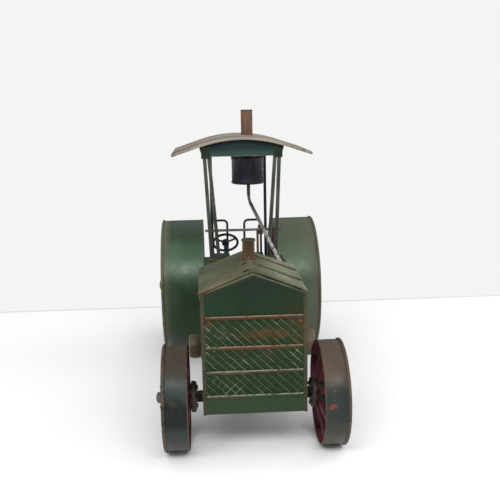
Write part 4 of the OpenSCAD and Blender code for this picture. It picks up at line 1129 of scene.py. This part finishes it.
class TractorSettings(bpy.types.PropertyGroup):
    """Colours, sizes, view and light that a user may change"""

    green: paint("Green", "Paint of the body sheets and rear treads", (0.020, 0.046, 0.020))
    deep_green: paint("Deep green", "Darker paint of the radiator", (0.009, 0.023, 0.010))
    leaf_green: paint("Leaf green", "Lighter, rubbed green", (0.027, 0.047, 0.022))
    mesh_green: paint("Mesh green", "Green behind the wire mesh", (0.013, 0.031, 0.009))
    # Greyer green, made paler overall as painted light from the window at the right.
    sage_window_lit: paint("Sage", "Faded paint of the left rear tread", (0.052, 0.076, 0.044))
    teal: paint("Teal", "Paint of the fascia boards", (0.013, 0.026, 0.026))
    post_green: paint("Post green", "Grey-green of the posts", (0.050, 0.059, 0.048))
    slate: paint("Slate", "Dark green-grey of the front treads", (0.021, 0.028, 0.027))
    olive: paint("Olive", "Worn olive of edges and borders", (0.095, 0.092, 0.050))
    khaki: paint("Khaki", "Weathered paint of the hood's roof", (0.103, 0.104, 0.057))
    # Painted light: this pale tone lights the hood's left slope and the tops of the grille bars.
    lit_sand: paint("Sand", "Paler paint of the hood's left slope", (0.270, 0.268, 0.195))
    rust: paint("Rust", "Rust of the stack, bars and post feet", (0.190, 0.085, 0.035))
    brown: paint("Brown", "Old brown stain", (0.085, 0.055, 0.036))
    tan: paint("Tan", "Paint rubbed thin", (0.330, 0.235, 0.140))
    tin: paint("Tin", "Roof sheet", (0.265, 0.228, 0.190))
    taupe: paint("Taupe", "Darker cloud of the roof sheet", (0.165, 0.135, 0.108))
    maroon: paint("Maroon", "Spokes", (0.112, 0.021, 0.030))
    navy: paint("Navy black", "Muffler, rods and hoops", (0.011, 0.012, 0.024))
    steel: paint("Steel", "Bare metal", (0.420, 0.400, 0.370))
    pulley: paint("Pulley", "Olive-brown of the pulley and flywheel", (0.150, 0.118, 0.068))
    wire: paint("Wire", "Rubbed mesh wires", (0.190, 0.222, 0.130))
    wear_red: paint("Worn red", "Under-paint that shows on a tread", (0.300, 0.045, 0.030))
    wire_d: length("Wire", "Thickness of the mesh wires", 0.42 * MM)
    plate_lap: length("Plate lap", "How far a roof plate reaches under the next one", 9 * MM)
    diamond_w: length("Diamond width", "Width of the mesh's diamonds", 5.8 * MM)
    diamond_h: length("Diamond height", "Height of the mesh's diamonds", 5.6 * MM)
    lens: amount("Lens", "Focal length on a 36 mm sensor", 52.05, "CAMERA")
    view_from: bpy.props.FloatVectorProperty(
        name="View from", description="Where the camera stands", subtype="XYZ", unit="LENGTH", size=3,
        default=(-0.02719, -0.57858, 0.22776),
    )
    view_turn: bpy.props.FloatVectorProperty(
        name="View turn", description="Camera's yaw, pitch and roll", subtype="EULER", unit="ROTATION",
        size=3, default=(math.radians(3.284), math.radians(-11.306), math.radians(1.039)),
    )
    backdrop: paint("Backdrop", "Pale colour behind the part", (0.91, 0.905, 0.90))
    room_light: amount("Room light", "Strength of the light from above", 1.2)
    window_light: amount("Window", "Power of the side light", 4.0, "POWER")
    front_light: amount("Front lamp", "Power of the lamp in front", 10.0, "POWER")


OPERATORS = (
    TRACTOR_OT_stage, TRACTOR_OT_frame, TRACTOR_OT_wheels, TRACTOR_OT_grille, TRACTOR_OT_hood,
    TRACTOR_OT_engine, TRACTOR_OT_exhaust, TRACTOR_OT_canopy, TRACTOR_OT_driver,
)
CLASSES = (TractorSettings, *OPERATORS, TRACTOR_PT_panel)


def register():
    for cls in CLASSES:
        bpy.utils.register_class(cls)
    bpy.types.Scene.tractor = bpy.props.PointerProperty(type=TractorSettings)


def unregister():
    del bpy.types.Scene.tractor
    for cls in reversed(CLASSES):
        bpy.utils.unregister_class(cls)


def main():
    register()
    FINISHES.update(make_finishes())
    for operator in OPERATORS:
        group, name = operator.bl_idname.split(".")
        getattr(getattr(bpy.ops, group), name)()


if __name__ == "__main__":
    main()
